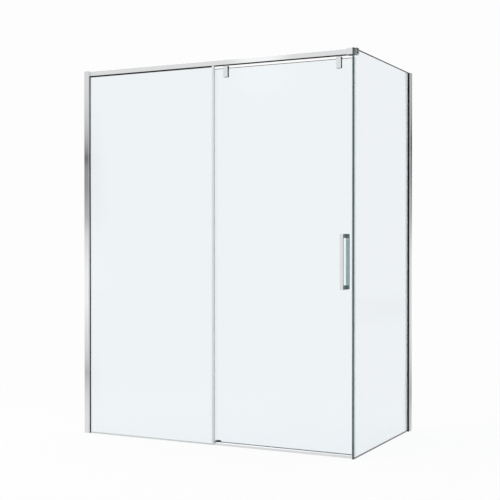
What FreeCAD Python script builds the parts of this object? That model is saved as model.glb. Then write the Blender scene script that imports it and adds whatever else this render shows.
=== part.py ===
import FreeCAD, Part
import os
import re

import Sketcher

# Corner shower enclosure with one sliding door, built against a left wall and a back wall.
# Places are written as distances in millimetres: across from the left wall, back from the
# front face of the fixed glass, and up from the floor. The finished part has its origin on
# the floor, in the middle of its own outline, with +X across, +Y back and +Z up.

# Driving dimensions
SIZES = [
    ("enclosure_width", 1587, "left wall to the outer face of the return glass"),
    ("enclosure_depth", 861, "front face of the fixed glass to the back wall"),
    ("enclosure_height", 2000, "floor to the top of the corner bracket"),
    ("fit_gap", 0.3, "gap between pieces that pass or meet without pressing"),
    ("glass_thickness", 8, "every pane"),
    ("glass_arris", 0.5, "chamfer around every pane"),
    ("return_lead", 15.5, "return glass in front of the fixed glass"),
    ("return_top_gap", 2, "return glass below the top of the corner bracket"),
    ("return_strip_height", 3, "packing strip under the return glass"),
    ("channel_width", 26, "wall channel across the glass"),
    ("channel_shift", 3, "middle of the channels from the middle of the glass, to the dry side"),
    ("channel_depth", 28, "wall channel out from the wall"),
    ("channel_wall", 1.6, "wall channel sheet"),
    ("channel_top_gap", 6, "wall channel below the top of the corner bracket"),
    ("cap_thickness", 2, "end cap of a wall channel"),
    ("wall_hole_radius", 3, "hole for a wall screw"),
    ("outer_hole_inset", 147, "outer wall screw holes in from the channel's ends"),
    ("outer_hole_pitch", "=enclosure_height - channel_top_gap - 2 * outer_hole_inset", "outer pair of them"),
    ("inner_hole_pitch", 600, "inner pair of wall screw holes"),
    ("glazing_wall", 1.6, "glazing channel sheet"),
    ("glazing_depth", 30, "glazing channel, back to front"),
    ("glazing_mouth", 12, "opening between the glazing channel's lips"),
    ("left_reach", 33, "left glazing channel out from the wall"),
    ("right_reach", 40, "right glazing channel out from the wall"),
    ("glass_bite", 13, "glass inside a glazing channel"),
    ("gasket_clearance", 0.1, "gasket to the glass"),
    ("gasket_cover", 1.2, "gasket lip in front of the glazing channel"),
    ("gasket_cover_width", 9.4, "dry gasket lip out from the glass"),
    ("wedge_cover_width", 4, "wet gasket lip out from the glass"),
    ("wet_recess", 5, "wet lip of a glazing channel behind its dry lip"),
    ("gasket_leg", 8, "gasket leg along the glass inside the channel"),
    ("gasket_barb", 2.5, "gasket barb behind the channel's lip"),
    ("screw_radius", 2, "shank of a pan head screw"),
    ("screw_head_radius", 3.8, "head of a pan head screw"),
    ("screw_head_height", 2.4, "head of a pan head screw"),
    ("screw_socket_radius", 1.7, "corner radius of a hexagon socket"),
    ("screw_socket_depth", 1.4, "depth of a hexagon socket"),
    ("screw_clearance", 0.15, "around a screw shank"),
    ("channel_screw_inset", 16, "channel screws out from the wall"),
    ("channel_screw_pitch", 750, "between channel screws"),
    ("channel_screw_length", 5, "shank of a channel screw"),
    ("fixed_edge", 805.4, "left wall to the free edge of the fixed glass"),
    ("strip_grip", 9.4, "edge strip on the fixed glass"),
    ("strip_wall", 1.5, "sides of the edge strip"),
    ("strip_web", 2.5, "front of the edge strip"),
    ("floor_strip_lip", 4, "floor strip beyond each face of the glass"),
    ("floor_strip_height", 5, "floor strip under the fixed glass"),
    ("floor_strip_base", 3, "glass above the floor in its strip"),
    ("rail_height", 25, "header rail"),
    ("rail_depth", 38, "header rail, front to back"),
    ("rail_wall", 2, "walls and flanges of the header rail"),
    ("rail_round", 0.6, "outer edges of the header rail"),
    ("rail_top_gap", 5, "header rail below the top of the corner bracket"),
    ("rail_gasket", 1.5, "gasket on each side of the glass in the rail"),
    ("rail_gasket_height", 10, "gasket inside the rail"),
    ("rail_gasket_drop", 8, "outer gasket below the rail"),
    ("rail_pocket_depth", 12, "glass pocket in the rail"),
    ("rail_glass_bite", 11, "fixed glass inside the rail"),
    ("rail_slot", 9, "slot for the hanger studs"),
    ("filler_height", 6, "strip that closes the empty glass pocket"),
    ("filler_wall", 1.5, "sides of that strip"),
    ("wall_bracket_inset", 4, "wall bracket clear of the wall"),
    ("wall_bracket_thickness", 6, "foot of the wall bracket"),
    ("wall_bracket_height", 19, "wall bracket"),
    ("wall_bracket_tongue", 30, "wall bracket inside the rail"),
    ("wall_bracket_pitch", 14, "between the two screws at each end of the wall bracket"),
    ("foot_screw_inset", 4, "first screw in from the end of the wall bracket's foot"),
    ("tongue_screw_inset", 8, "last screw in from the end of the wall bracket's tongue"),
    ("wall_bracket_screw_length", 9, "shank of a rail end screw"),
    ("corner_wall", 2, "sides and floor of the corner bracket"),
    ("corner_end", 6, "end wall of the corner bracket"),
    ("corner_length", 34, "corner bracket along the rail"),
    ("corner_clearance", 0.2, "around the rail inside the corner bracket"),
    ("corner_round", 1, "outer edges of the corner pieces"),
    ("corner_pad", 1, "pad on each side of the return glass"),
    ("corner_plate", 6, "outer clamp plate"),
    ("corner_plate_depth", 38, "outer clamp plate, front to back"),
    ("corner_plate_setback", 4.5, "outer clamp plate behind the front of the bracket"),
    ("corner_screw_radius", 2.5, "clamp screw shank"),
    ("corner_screw_head_radius", 4.5, "clamp screw head"),
    ("corner_screw_head_height", 3, "clamp screw head"),
    ("corner_screw_pitch", 20, "between clamp screws"),
    ("corner_screw_bite", 5, "clamp screw in the bracket's end wall"),
    ("corner_fix_inset", 6, "first rail screw in from the open end of the bracket"),
    ("corner_fix_pitch", 12, "between the two rail screws in the bracket"),
    ("corner_fix_length", 5, "shank of a screw that holds the rail in the bracket"),
    ("glass_hole_radius", 6, "hole through a pane"),
    ("bush_clearance", 0.2, "bush inside a hole through a pane"),
    ("threshold_height", 15, "threshold bar"),
    ("threshold_setback", 4, "threshold bar behind the front face of the fixed glass"),
    ("threshold_depth", 7.7, "threshold bar, front to back"),
    ("threshold_wall", 1.6, "sides of the threshold bar"),
    ("threshold_slope", 3, "slope along the top edge of the threshold bar"),
    ("guide_gap", 1.7, "floor guide beside the edge strip"),
    ("guide_length", 25, "floor guide"),
    ("guide_slot", 11, "floor guide, between its cheeks"),
    ("guide_cheek", 4.5, "cheek of the floor guide"),
    ("guide_base", 6, "floor of the guide's slot"),
    ("guide_height", 22.5, "floor guide"),
    ("guide_slope", 2, "lead-in along the top of the cheeks"),
    ("door_overlap", 12.6, "door behind the fixed glass"),
    ("door_strike_gap", 7, "door edge to the return glass"),
    ("door_floor_gap", 10, "door above the floor"),
    ("door_top_gap", 14.5, "door below the rail"),
    ("door_travel", 660, "door slide"),
    ("seal_wall", 1.2, "edge seals of the door"),
    ("seal_grip", 10, "edge seals on the glass"),
    ("seal_bulb_width", 7, "root of the strike seal's bulb, front to back"),
    ("seal_bulb_tip", 3.6, "tip of the strike seal's bulb, front to back"),
    ("seal_fin_lean", 4.7, "fin of the trailing seal, along the rail"),
    ("bottom_seal_wall", 1, "bottom seal of the door"),
    ("bottom_seal_grip", 7, "bottom seal on the glass"),
    ("bottom_fin", 2.4, "fin under the door"),
    ("bottom_fin_thickness", 1.5, "fin under the door"),
    ("hanger_inset", 76, "hangers in from the door's edges"),
    ("hanger_width", 25, "hanger along the rail"),
    ("hanger_leg", 5, "front leg of a hanger"),
    ("hanger_plate", 5, "rear plate of a hanger"),
    ("hanger_pad", 1, "pad on each side of the door glass"),
    ("hanger_drop", 46.5, "hanger over the door glass"),
    ("hanger_run_gap", 5.5, "hanger below the rail"),
    ("hanger_glass_gap", 2, "hanger above the door glass"),
    ("hanger_round", 0.8, "outer edges of a hanger"),
    ("hanger_screw_low", 14, "lower clamp screw above the hanger's foot"),
    ("hanger_screw_pitch", 20, "between clamp screws"),
    ("hanger_screw_bite", 3, "clamp screw in the front leg"),
    ("trolley_length", 56, "trolley along the rail"),
    ("trolley_thickness", 7, "trolley, front to back"),
    ("trolley_height", 14, "trolley"),
    ("trolley_floor_gap", 2, "trolley above the rail's flanges"),
    ("trolley_round", 3.5, "ends of a trolley"),
    ("axle_pitch", 36, "between the axles of a trolley"),
    ("axle_radius", 2, "wheel axle"),
    ("axle_clearance", 0.05, "axle in its bush"),
    ("axle_bush_wall", 1.5, "axle bush"),
    ("wheel_radius", 9, "wheel"),
    ("wheel_width", 5, "wheel"),
    ("wheel_round", 0.8, "rim edges of a wheel"),
    ("wheel_side_gap", 0.7, "wheel to the side of the roller channel"),
    ("wheel_floor_gap", 0.2, "wheel above the rail's flanges"),
    ("press_clearance", 0.02, "wheel on its axle"),
    ("stud_radius", 3, "hanger stud"),
    ("stud_end", 0.6, "stud past its nut"),
    ("nut_radius", 5.5, "corner radius of a stud nut"),
    ("nut_height", 3.5, "stud nut"),
    ("stop_length", 15, "door stop along the rail"),
    ("stop_side_gap", 1.5, "door stop to the side of the roller channel"),
    ("stop_height", 16, "door stop"),
    ("buffer_radius", 5, "rubber buffer"),
    ("buffer_length", 6, "rubber buffer"),
    ("stop_screw_radius", 2.5, "set screw of a door stop"),
    ("handle_inset", 45.8, "handle in from the strike edge of the door"),
    ("handle_height", 959.5, "middle of the handle above the floor"),
    ("handle_length", 273, "handle bar"),
    ("handle_width", 17.6, "handle bar along the rail"),
    ("handle_thickness", 9, "handle bar, front to back"),
    ("handle_reach", 33, "handle post"),
    ("handle_post", 20, "height of a handle post"),
    ("handle_round", 1.2, "edges of the handle bar"),
    ("handle_washer", 1, "washer between post and glass"),
    ("handle_stud_radius", 3, "stud through the door"),
    ("handle_stud_bite", 12, "stud inside a post"),
]

doc = FreeCAD.newDocument("corner_shower_enclosure")
sheet = doc.addObject("Spreadsheet::Sheet", "Sizes")
for row, (alias, size, note) in enumerate(SIZES, start=1):
    sheet.set(f"A{row}", note)
    sheet.set(f"B{row}", str(size))
    sheet.setAlias(f"B{row}", alias)
doc.recompute()

# Places that follow from the sizes: rail and glass lines first, then the door and what it carries
LAYOUT = [
    ("dry_overhang", "(channel_width - glass_thickness) / 2 + channel_shift"),
    ("wet_overhang", "(channel_width - glass_thickness) / 2 - channel_shift"),
    ("return_inner", "enclosure_width - glass_thickness"),
    ("return_top", "enclosure_height - return_top_gap"),
    ("return_back", "enclosure_depth - right_reach + glass_bite"),
    ("channel_height", "enclosure_height - channel_top_gap"),
    ("glazing_half", "channel_width / 2 - channel_wall - fit_gap"),
    ("rail_top", "enclosure_height - rail_top_gap"),
    ("rail_bottom", "rail_top - rail_height"),
    ("rail_front", "-rail_wall - rail_gasket"),
    ("rail_rear", "rail_front + rail_depth"),
    ("rail_left", "left_reach + fit_gap"),
    ("track_front", "glass_thickness + rail_gasket + rail_wall"),
    ("track_rear", "rail_rear - rail_wall"),
    ("track_mid", "(track_front + track_rear) / 2"),
    ("track_floor", "rail_bottom + rail_wall"),
    ("track_roof", "rail_top - rail_wall"),
    ("corner_right", "return_inner - corner_pad"),
    ("corner_left", "corner_right - corner_length"),
    ("rail_right", "corner_right - corner_end"),
    ("corner_front", "rail_front - corner_wall"),
    ("corner_floor", "rail_bottom - corner_wall"),
    ("clamp_front", "corner_front + corner_plate_setback"),
    ("clamp_mid", "clamp_front + corner_plate_depth / 2"),
    ("clamp_height", "(corner_floor + enclosure_height) / 2"),
    ("fixed_left", "left_reach - glass_bite"),
    ("fixed_top", "rail_bottom + rail_glass_bite"),
    ("strip_left", "fixed_edge - strip_grip"),
    ("strip_right", "fixed_edge + strip_web"),
    ("door_front", "track_mid - glass_thickness / 2"),
    ("door_rear", "track_mid + glass_thickness / 2"),
    ("door_left", "fixed_edge - door_overlap"),
    ("door_right", "return_inner - door_strike_gap"),
    ("door_top", "rail_bottom - door_top_gap"),
    ("hanger_front", "door_front - hanger_pad - hanger_leg"),
    ("hanger_rear", "door_rear + hanger_pad + hanger_plate"),
    ("hanger_bottom", "door_top - hanger_drop"),
    ("hanger_top", "rail_bottom - hanger_run_gap"),
    ("hanger_bridge", "door_top + hanger_glass_gap"),
    ("left_hanger", "door_left + hanger_inset"),
    ("right_hanger", "door_right - hanger_inset"),
    ("trolley_floor", "track_floor + trolley_floor_gap"),
    ("trolley_top", "trolley_floor + trolley_height"),
    ("axle_height", "track_floor + wheel_floor_gap + wheel_radius"),
    ("wheel_front", "track_front + wheel_side_gap"),
    ("wheel_rear", "track_rear - wheel_side_gap"),
    ("axle_bush_radius", "axle_radius + axle_clearance + axle_bush_wall"),
    ("bush_radius", "glass_hole_radius - bush_clearance"),
    ("handle_mid", "door_right - handle_inset"),
    ("handle_front", "door_front - handle_washer - handle_reach - handle_thickness"),
    ("handle_rear", "door_rear + handle_washer + handle_reach + handle_thickness"),
    ("handle_post_offset", "(handle_length - handle_post) / 2"),
    ("x_mid", "(enclosure_width + dry_overhang) / 2"),
    ("y_mid", "(enclosure_depth + min(-dry_overhang; handle_front)) / 2"),
]

OWNERS = {alias: "Sizes." for alias, size, note in SIZES}
OWNERS.update({name: "Layout." for name, rule in LAYOUT})


def full(rule):
    """Point each plain name in a rule at the cell or the layout value that holds it."""
    return re.sub(r"[a-z][a-z_]*", lambda word: OWNERS.get(word.group(0), "") + word.group(0), rule)


layout = doc.addObject("App::VarSet", "Layout")
for name, rule in LAYOUT:
    layout.addProperty("App::PropertyFloat", name, "Layout", rule)
    layout.setExpression(name, full(rule))
doc.recompute()


def number(rule):
    """The value of a rule now, to start a sketch near its solution."""
    return float(sheet.evalExpression(full(rule)))


# Tools for placing, drawing and cutting
UPRIGHT = FreeCAD.Rotation()
TURNS = {
    "+X": FreeCAD.Rotation(FreeCAD.Vector(0, 1, 0), 90),
    "-X": FreeCAD.Rotation(FreeCAD.Vector(0, 1, 0), -90),
    "+Y": FreeCAD.Rotation(FreeCAD.Vector(1, 0, 0), -90),
    "-Y": FreeCAD.Rotation(FreeCAD.Vector(1, 0, 0), 90),
    "+Z": UPRIGHT,
    "-Z": FreeCAD.Rotation(FreeCAD.Vector(1, 0, 0), 180),
}
CLOSE = 0.001
OPPOSITE = {"+X": "-X", "-X": "+X", "+Y": "-Y", "-Y": "+Y", "+Z": "-Z", "-Z": "+Z"}
cuts = []
sub_parts = []


def place(piece, at, turn=UPRIGHT):
    """Stand a piece at a point of the enclosure, turned as given."""
    piece.Placement = FreeCAD.Placement(FreeCAD.Vector(), turn)
    across, back, up = at
    piece.setExpression("Placement.Base.x", full(f"{across} - x_mid"))
    piece.setExpression("Placement.Base.y", full(f"{back} - y_mid"))
    piece.setExpression("Placement.Base.z", full(up))


def along(at, direction, distance):
    """The point a distance from another in one of the six directions."""
    moved = list(at)
    axis = "XYZ".index(direction[1])
    moved[axis] = f"{at[axis]} {direction[0]} ({distance})"
    return tuple(moved)


def sub_part(piece, label):
    """Name a finished piece, which also names its file."""
    piece.Label = label
    sub_parts.append(piece)
    return piece


def pin(sketch, line, point, x, y):
    """Hold a sketch point at two rules, or on an axis where the rule is zero."""
    for kind, rule, axis in (("DistanceX", x, -2), ("DistanceY", y, -1)):
        if rule == "0":
            sketch.addConstraint(Sketcher.Constraint("PointOnObject", line, point, axis))
        else:
            held = sketch.addConstraint(Sketcher.Constraint(kind, -1, 1, line, point, number(rule)))
            sketch.setExpression(f"Constraints[{held}]", full(rule))


def draw(body, plane, outlines=(), circles=(), offset="0"):
    """Sketch closed outlines and circles on one of a body's own planes, moved along its normal."""
    sketch = body.newObject("Sketcher::SketchObject", f"{body.Name}_sketch")
    datum = next(item for item in body.Origin.OriginFeatures if item.Role == f"{plane}_Plane")
    sketch.AttachmentSupport = (datum, [""])
    sketch.MapMode = "FlatFace"
    if offset != "0":
        sketch.setExpression("AttachmentOffset.Base.z", full(offset))
    for outline in outlines:
        first = sketch.GeometryCount
        corners = [FreeCAD.Vector(number(x), number(y), 0) for x, y in outline]
        for start, end in zip(corners, corners[1:] + corners[:1]):
            sketch.addGeometry(Part.LineSegment(start, end), False)
        for index, (x, y) in enumerate(outline):
            following = first + (index + 1) % len(outline)
            sketch.addConstraint(Sketcher.Constraint("Coincident", first + index, 2, following, 1))
            pin(sketch, first + index, 1, x, y)
    for x, y, radius in circles:
        centre = FreeCAD.Vector(number(x), number(y), 0)
        ring = sketch.addGeometry(Part.Circle(centre, FreeCAD.Vector(0, 0, 1), number(radius)), False)
        pin(sketch, ring, 3, x, y)
        held = sketch.addConstraint(Sketcher.Constraint("Radius", ring, number(radius)))
        sketch.setExpression(f"Constraints[{held}]", full(radius))
    return sketch


def drawn(name, at, plane, outlines, length, circles=(), turn=UPRIGHT):
    """A body with one section: drawn on XY and raised, on YZ and run across, or on XZ and run back."""
    body = doc.addObject("PartDesign::Body", name)
    body.AllowCompound = True
    place(body, at, turn)
    sketch = draw(body, plane, outlines, circles)
    pad = body.newObject("PartDesign::Pad", f"{name}_pad")
    pad.Profile = sketch
    pad.Reversed = plane == "XZ"
    pad.setExpression("Length", full(length))
    doc.recompute()
    return body


def extrusion(label, *section, **options):
    """A body with one section that is a sub-part by itself."""
    return sub_part(drawn(label, *section, **options), label)


def cut(body, plane, start, end, outlines=(), circles=()):
    """Cut holes between two distances along the normal of one of the body's own planes."""
    base = body.Tip
    offset = f"-({start})" if plane == "XZ" else end
    sketch = draw(body, plane, outlines, circles, offset)
    pocket = body.newObject("PartDesign::Pocket", f"{body.Name}_cut")
    pocket.Profile = sketch
    pocket.setExpression("Length", full(f"({end}) - ({start})"))
    doc.recompute()
    cuts.append((body.Label, base, pocket))


def soften(body, kind, size, chosen):
    """Fillet or chamfer the edges of a body that a test picks."""
    base = body.Tip
    names = []
    for index, edge in enumerate(base.Shape.Edges, start=1):
        if chosen(edge):
            names.append(f"Edge{index}")
    feature = body.newObject(f"PartDesign::{kind}", f"{body.Name}_{kind.lower()}")
    feature.Base = (base, names)
    feature.setExpression("Radius" if kind == "Fillet" else "Size", full(size))
    doc.recompute()


def runs(axis, corners):
    """A test for the edges along one axis that stand at the given corners of the section."""
    sides = [index for index in range(3) if index != axis]
    wanted = [[number(rule) for rule in corner] for corner in corners]

    def chosen(edge):
        ends = [[vertex.Point[side] for side in sides] for vertex in edge.Vertexes]
        near = [max(abs(a - b) for end in ends for a, b in zip(end, corner)) for corner in wanted]
        return min(near) < CLOSE

    return chosen


def within(axis, rule):
    """A test for the straight edges that lie at one distance along an axis."""
    level = number(rule)
    return lambda edge: not edge.Closed and all(abs(v.Point[axis] - level) < CLOSE for v in edge.Vertexes)


def rectangle(x_low, y_low, x_high, y_high):
    """The four corners of an upright rectangle."""
    return [(x_low, y_low), (x_high, y_low), (x_high, y_high), (x_low, y_high)]


def mirrored(outline):
    """The same outline on the other side of the sketch's first axis."""
    return [(x, f"-({y})") for x, y in reversed(outline)]


def cylinder(name, at, direction, radius, length):
    """A round bar from a point along one of the six directions."""
    piece = doc.addObject("Part::Cylinder", name)
    piece.setExpression("Radius", full(radius))
    piece.setExpression("Height", full(length))
    place(piece, at, TURNS[direction])
    return piece


def prism(name, at, direction, radius, length):
    """A hexagonal bar from a point along one of the six directions."""
    piece = doc.addObject("Part::Prism", name)
    piece.Polygon = 6
    piece.setExpression("Circumradius", full(radius))
    piece.setExpression("Height", full(length))
    place(piece, at, TURNS[direction])
    return piece


def boolean(kind, name, base, tool):
    """One solid made from two: Part::Cut or Part::Fuse."""
    piece = doc.addObject(kind, name)
    piece.Base = base
    piece.Tool = tool
    return piece


def ring(name, at, direction, outer, inner, length):
    """A bush or a washer."""
    bar = cylinder(f"{name}_bar", at, direction, outer, length)
    hole = cylinder(f"{name}_hole", at, direction, inner, length)
    return boolean("Part::Cut", name, bar, hole)


def screw(name, seat, direction, length, radius, head_radius, head_height):
    """A socket screw whose head stands on the seat and whose shank points the given way."""
    out = OPPOSITE[direction]
    head = cylinder(f"{name}_head", seat, out, head_radius, head_height)
    shank = cylinder(f"{name}_shank", seat, direction, radius, length)
    socket_floor = along(seat, out, f"{head_height} - screw_socket_depth")
    socket = prism(f"{name}_socket", socket_floor, out, "screw_socket_radius", "screw_socket_depth")
    whole = boolean("Part::Fuse", f"{name}_whole", head, shank)
    return boolean("Part::Cut", name, whole, socket)


def small_screw(name, seat, direction, length):
    """The pan head screw used throughout the frame."""
    return screw(name, seat, direction, length, "screw_radius", "screw_head_radius", "screw_head_height")


def group(label, pieces):
    """Several solids of one kind that share a name."""
    bundle = doc.addObject("Part::Compound", label)
    bundle.Links = pieces
    return sub_part(bundle, label)


def pane(label, at, plane, width, height, holes):
    """A glass panel with polished edges and round holes."""
    body = extrusion(label, at, plane, [rectangle("0", "0", width, height)], "glass_thickness", holes)
    through = {"XZ": 1, "YZ": 0}[plane]
    front = within(through, "0")
    back = within(through, "glass_thickness")
    soften(body, "Chamfer", "glass_arris", lambda edge: front(edge) or back(edge))


# Wall channels, with the glazing channels that telescope in them, gaskets and caps.
# Each set is drawn out from its wall, with the glass on the sketch's first axis.
SCREW_HOLE = "screw_radius + screw_clearance"
channel_screws = []
wedge_gaskets = []


def wall_set(side, at, turn, reach, shower, gasket_length):
    """Everything that holds a pane to one wall; shower is + or - for the wet side of the glass."""
    shift = {"+": "- channel_shift", "-": "+ channel_shift"}[shower]
    outer_low, outer_high = f"-channel_width / 2 {shift}", f"channel_width / 2 {shift}"
    inner_low, inner_high = f"-glazing_half {shift}", f"glazing_half {shift}"
    wet_reach = f"{reach} - wet_recess"
    front_low, front_high = {"+": (reach, wet_reach), "-": (wet_reach, reach)}[shower]
    channel = extrusion(
        f"{side}_wall_channel",
        at,
        "XY",
        [
            [
                ("0", outer_low),
                ("channel_depth", outer_low),
                ("channel_depth", f"{outer_low} + channel_wall"),
                ("channel_wall", f"{outer_low} + channel_wall"),
                ("channel_wall", f"{outer_high} - channel_wall"),
                ("channel_depth", f"{outer_high} - channel_wall"),
                ("channel_depth", outer_high),
                ("0", outer_high),
            ]
        ],
        "channel_height",
        turn=turn,
    )
    holes = []
    for pitch in ("outer_hole_pitch", "inner_hole_pitch"):
        for sign in "-+":
            holes.append(("0", f"channel_height / 2 {sign} {pitch} / 2", "wall_hole_radius"))
    cut(channel, "YZ", "0", "channel_wall", circles=holes)

    glazing = extrusion(
        f"{side}_glazing_channel",
        at,
        "XY",
        [
            [
                (f"{reach} - glazing_depth", inner_low),
                (front_low, inner_low),
                (front_low, "-glazing_mouth / 2"),
                (f"{front_low} - glazing_wall", "-glazing_mouth / 2"),
                (f"{front_low} - glazing_wall", f"{inner_low} + glazing_wall"),
                (f"{reach} - glazing_depth + glazing_wall", f"{inner_low} + glazing_wall"),
                (f"{reach} - glazing_depth + glazing_wall", f"{inner_high} - glazing_wall"),
                (f"{front_high} - glazing_wall", f"{inner_high} - glazing_wall"),
                (f"{front_high} - glazing_wall", "glazing_mouth / 2"),
                (front_high, "glazing_mouth / 2"),
                (front_high, inner_high),
                (f"{reach} - glazing_depth", inner_high),
            ]
        ],
        "channel_height",
        turn=turn,
    )
    bores = []
    for sign in ("- channel_screw_pitch", "", "+ channel_screw_pitch"):
        bores.append(("channel_screw_inset", f"channel_height / 2 {sign}", SCREW_HOLE))
    outer = {
        "+": (f"{outer_high} - channel_wall", outer_high),
        "-": (outer_low, f"{outer_low} + channel_wall"),
    }
    inner = {
        "+": (f"{inner_high} - glazing_wall", inner_high),
        "-": (inner_low, f"{inner_low} + glazing_wall"),
    }
    cut(channel, "XZ", *outer[shower], circles=bores)
    cut(glazing, "XZ", *inner[shower], circles=bores)

    seat = "glass_thickness / 2 + gasket_clearance"
    dry_gasket = [
        (reach, "glazing_mouth / 2"),
        (f"{reach} - glazing_wall", "glazing_mouth / 2"),
        (f"{reach} - glazing_wall", "glazing_mouth / 2 + gasket_barb"),
        (f"{reach} - glazing_wall - gasket_barb", "glazing_mouth / 2"),
        (f"{reach} - gasket_leg", "glazing_mouth / 2"),
        (f"{reach} - gasket_leg", seat),
        (f"{reach} + gasket_cover", seat),
        (f"{reach} + gasket_cover", f"{seat} + gasket_cover_width"),
        (reach, f"{seat} + gasket_cover_width"),
    ]
    wet_gasket = [
        (wet_reach, "glazing_mouth / 2"),
        (f"{wet_reach} - gasket_leg", "glazing_mouth / 2"),
        (f"{wet_reach} - gasket_leg", seat),
        (f"{wet_reach} + gasket_cover", seat),
        (f"{wet_reach} + gasket_cover", f"{seat} + wedge_cover_width"),
        (wet_reach, f"{seat} + wedge_cover_width"),
    ]
    dry_outline = {"+": mirrored(dry_gasket), "-": dry_gasket}[shower]
    wet_outline = {"+": wet_gasket, "-": mirrored(wet_gasket)}[shower]
    extrusion(f"{side}_cover_gasket", at, "XY", [dry_outline], gasket_length, turn=turn)
    wedge_gaskets.append(drawn(f"{side}_wedge_gasket", at, "XY", [wet_outline], gasket_length, turn=turn))

    cap_at = along(at, "+Z", "channel_height")
    face = "glass_thickness / 2"
    notch_floor = f"{reach} - glass_bite - fit_gap"
    cap = [
        ("0", outer_low),
        ("channel_depth", outer_low),
        ("channel_depth", f"-{face} - fit_gap"),
        (notch_floor, f"-{face} - fit_gap"),
        (notch_floor, f"{face} + fit_gap"),
        ("channel_depth", f"{face} + fit_gap"),
        ("channel_depth", outer_high),
        ("0", outer_high),
    ]
    extrusion(f"{side}_channel_cap", cap_at, "XY", [cap], "cap_thickness", turn=turn)
    return channel, glazing


LEFT_WALL = ("0", "glass_thickness / 2", "0")
BACK_WALL = ("enclosure_width - glass_thickness / 2", "enclosure_depth", "0")
QUARTER = FreeCAD.Rotation(FreeCAD.Vector(0, 0, 1), -90)
left_channel, left_glazing = wall_set("left", LEFT_WALL, UPRIGHT, "left_reach", "+",
                                        "rail_bottom - rail_gasket_drop - fit_gap")
wall_set("right", BACK_WALL, QUARTER, "right_reach", "-", "channel_height")
group("wedge_gaskets", wedge_gaskets)

SCREW_ROWS = {"low": "- channel_screw_pitch", "middle": "", "high": "+ channel_screw_pitch"}
for row, step in SCREW_ROWS.items():
    level = f"channel_height / 2 {step}"
    left_seat = ("channel_screw_inset", "glass_thickness + wet_overhang", level)
    right_seat = ("return_inner - wet_overhang", "enclosure_depth - channel_screw_inset", level)
    channel_screws.append(small_screw(f"left_screw_{row}", left_seat, "-Y", "channel_screw_length"))
    channel_screws.append(small_screw(f"right_screw_{row}", right_seat, "+X", "channel_screw_length"))
group("channel_screws", channel_screws)

# Fixed glass, its floor strip and the light strip on its free edge
pane("fixed_glass", ("fixed_left", "0", "floor_strip_base"), "XZ", "fixed_edge - fixed_left",
     "fixed_top - floor_strip_base", [])

FLOOR_LEFT = "left_reach + gasket_cover + fit_gap"
extrusion(
    "fixed_floor_strip",
    (FLOOR_LEFT, "0", "0"),
    "YZ",
    [
        [
            ("-floor_strip_lip", "0"),
            ("glass_thickness + floor_strip_lip", "0"),
            ("glass_thickness + floor_strip_lip", "floor_strip_height"),
            ("glass_thickness + fit_gap", "floor_strip_height"),
            ("glass_thickness + fit_gap", "floor_strip_base"),
            ("-fit_gap", "floor_strip_base"),
            ("-fit_gap", "floor_strip_height"),
            ("-floor_strip_lip", "floor_strip_height"),
        ]
    ],
    f"strip_left - fit_gap - ({FLOOR_LEFT})",
)

extrusion(
    "fixed_edge_strip",
    ("strip_left", "0", "0"),
    "XY",
    [
        [
            ("0", "-strip_wall"),
            ("strip_grip + strip_web", "-strip_wall"),
            ("strip_grip + strip_web", "glass_thickness + strip_wall"),
            ("0", "glass_thickness + strip_wall"),
            ("0", "glass_thickness"),
            ("strip_grip", "glass_thickness"),
            ("strip_grip", "0"),
            ("0", "0"),
        ]
    ],
    "rail_bottom - fit_gap",
)

# Return glass on its packing strip
clamp_holes = []
for sign in "-+":
    clamp_holes.append(
        (
            f"clamp_mid + return_lead {sign} corner_screw_pitch / 2",
            "clamp_height - return_strip_height",
            "glass_hole_radius",
        )
    )
pane("side_glass", ("return_inner", "-return_lead", "return_strip_height"), "YZ",
     "return_back + return_lead", "return_top - return_strip_height", clamp_holes)

PACKING_BACK = "enclosure_depth - right_reach - gasket_cover - fit_gap"
extrusion(
    "side_floor_strip",
    ("return_inner", "-return_lead", "0"),
    "XY",
    [rectangle("0", "0", "glass_thickness", f"{PACKING_BACK} + return_lead")],
    "return_strip_height",
)

# Header rail: a glass pocket in front, a hollow above it and a roller channel behind
POCKET_REAR = "rail_wall + rail_gasket * 2 + glass_thickness"
SLOT_FRONT = "track_mid - rail_front - rail_slot / 2"
SLOT_REAR = "track_mid - rail_front + rail_slot / 2"
rail_section = [
    ("0", "0"),
    ("rail_wall", "0"),
    ("rail_wall", "rail_pocket_depth"),
    (POCKET_REAR, "rail_pocket_depth"),
    (POCKET_REAR, "0"),
    (SLOT_FRONT, "0"),
    (SLOT_FRONT, "rail_wall"),
    (f"{POCKET_REAR} + rail_wall", "rail_wall"),
    (f"{POCKET_REAR} + rail_wall", "rail_height - rail_wall"),
    ("rail_depth - rail_wall", "rail_height - rail_wall"),
    ("rail_depth - rail_wall", "rail_wall"),
    (SLOT_REAR, "rail_wall"),
    (SLOT_REAR, "0"),
    ("rail_depth", "0"),
    ("rail_depth", "rail_height"),
    ("0", "rail_height"),
]
rail_hollow = rectangle("rail_wall", "rail_pocket_depth + rail_wall", POCKET_REAR, "rail_height - rail_wall")
rail = extrusion("header_rail", ("rail_left", "rail_front", "rail_bottom"), "YZ",
                 [rail_section, rail_hollow], "rail_right - rail_left")

extrusion(
    "rail_glass_gaskets",
    ("rail_left", "0", "rail_bottom"),
    "YZ",
    [
        rectangle("-rail_gasket", "-rail_gasket_drop", "0", "rail_gasket_height"),
        rectangle("glass_thickness", "0", "glass_thickness + rail_gasket", "rail_gasket_height"),
    ],
    "strip_left - fit_gap - rail_left",
)

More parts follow.
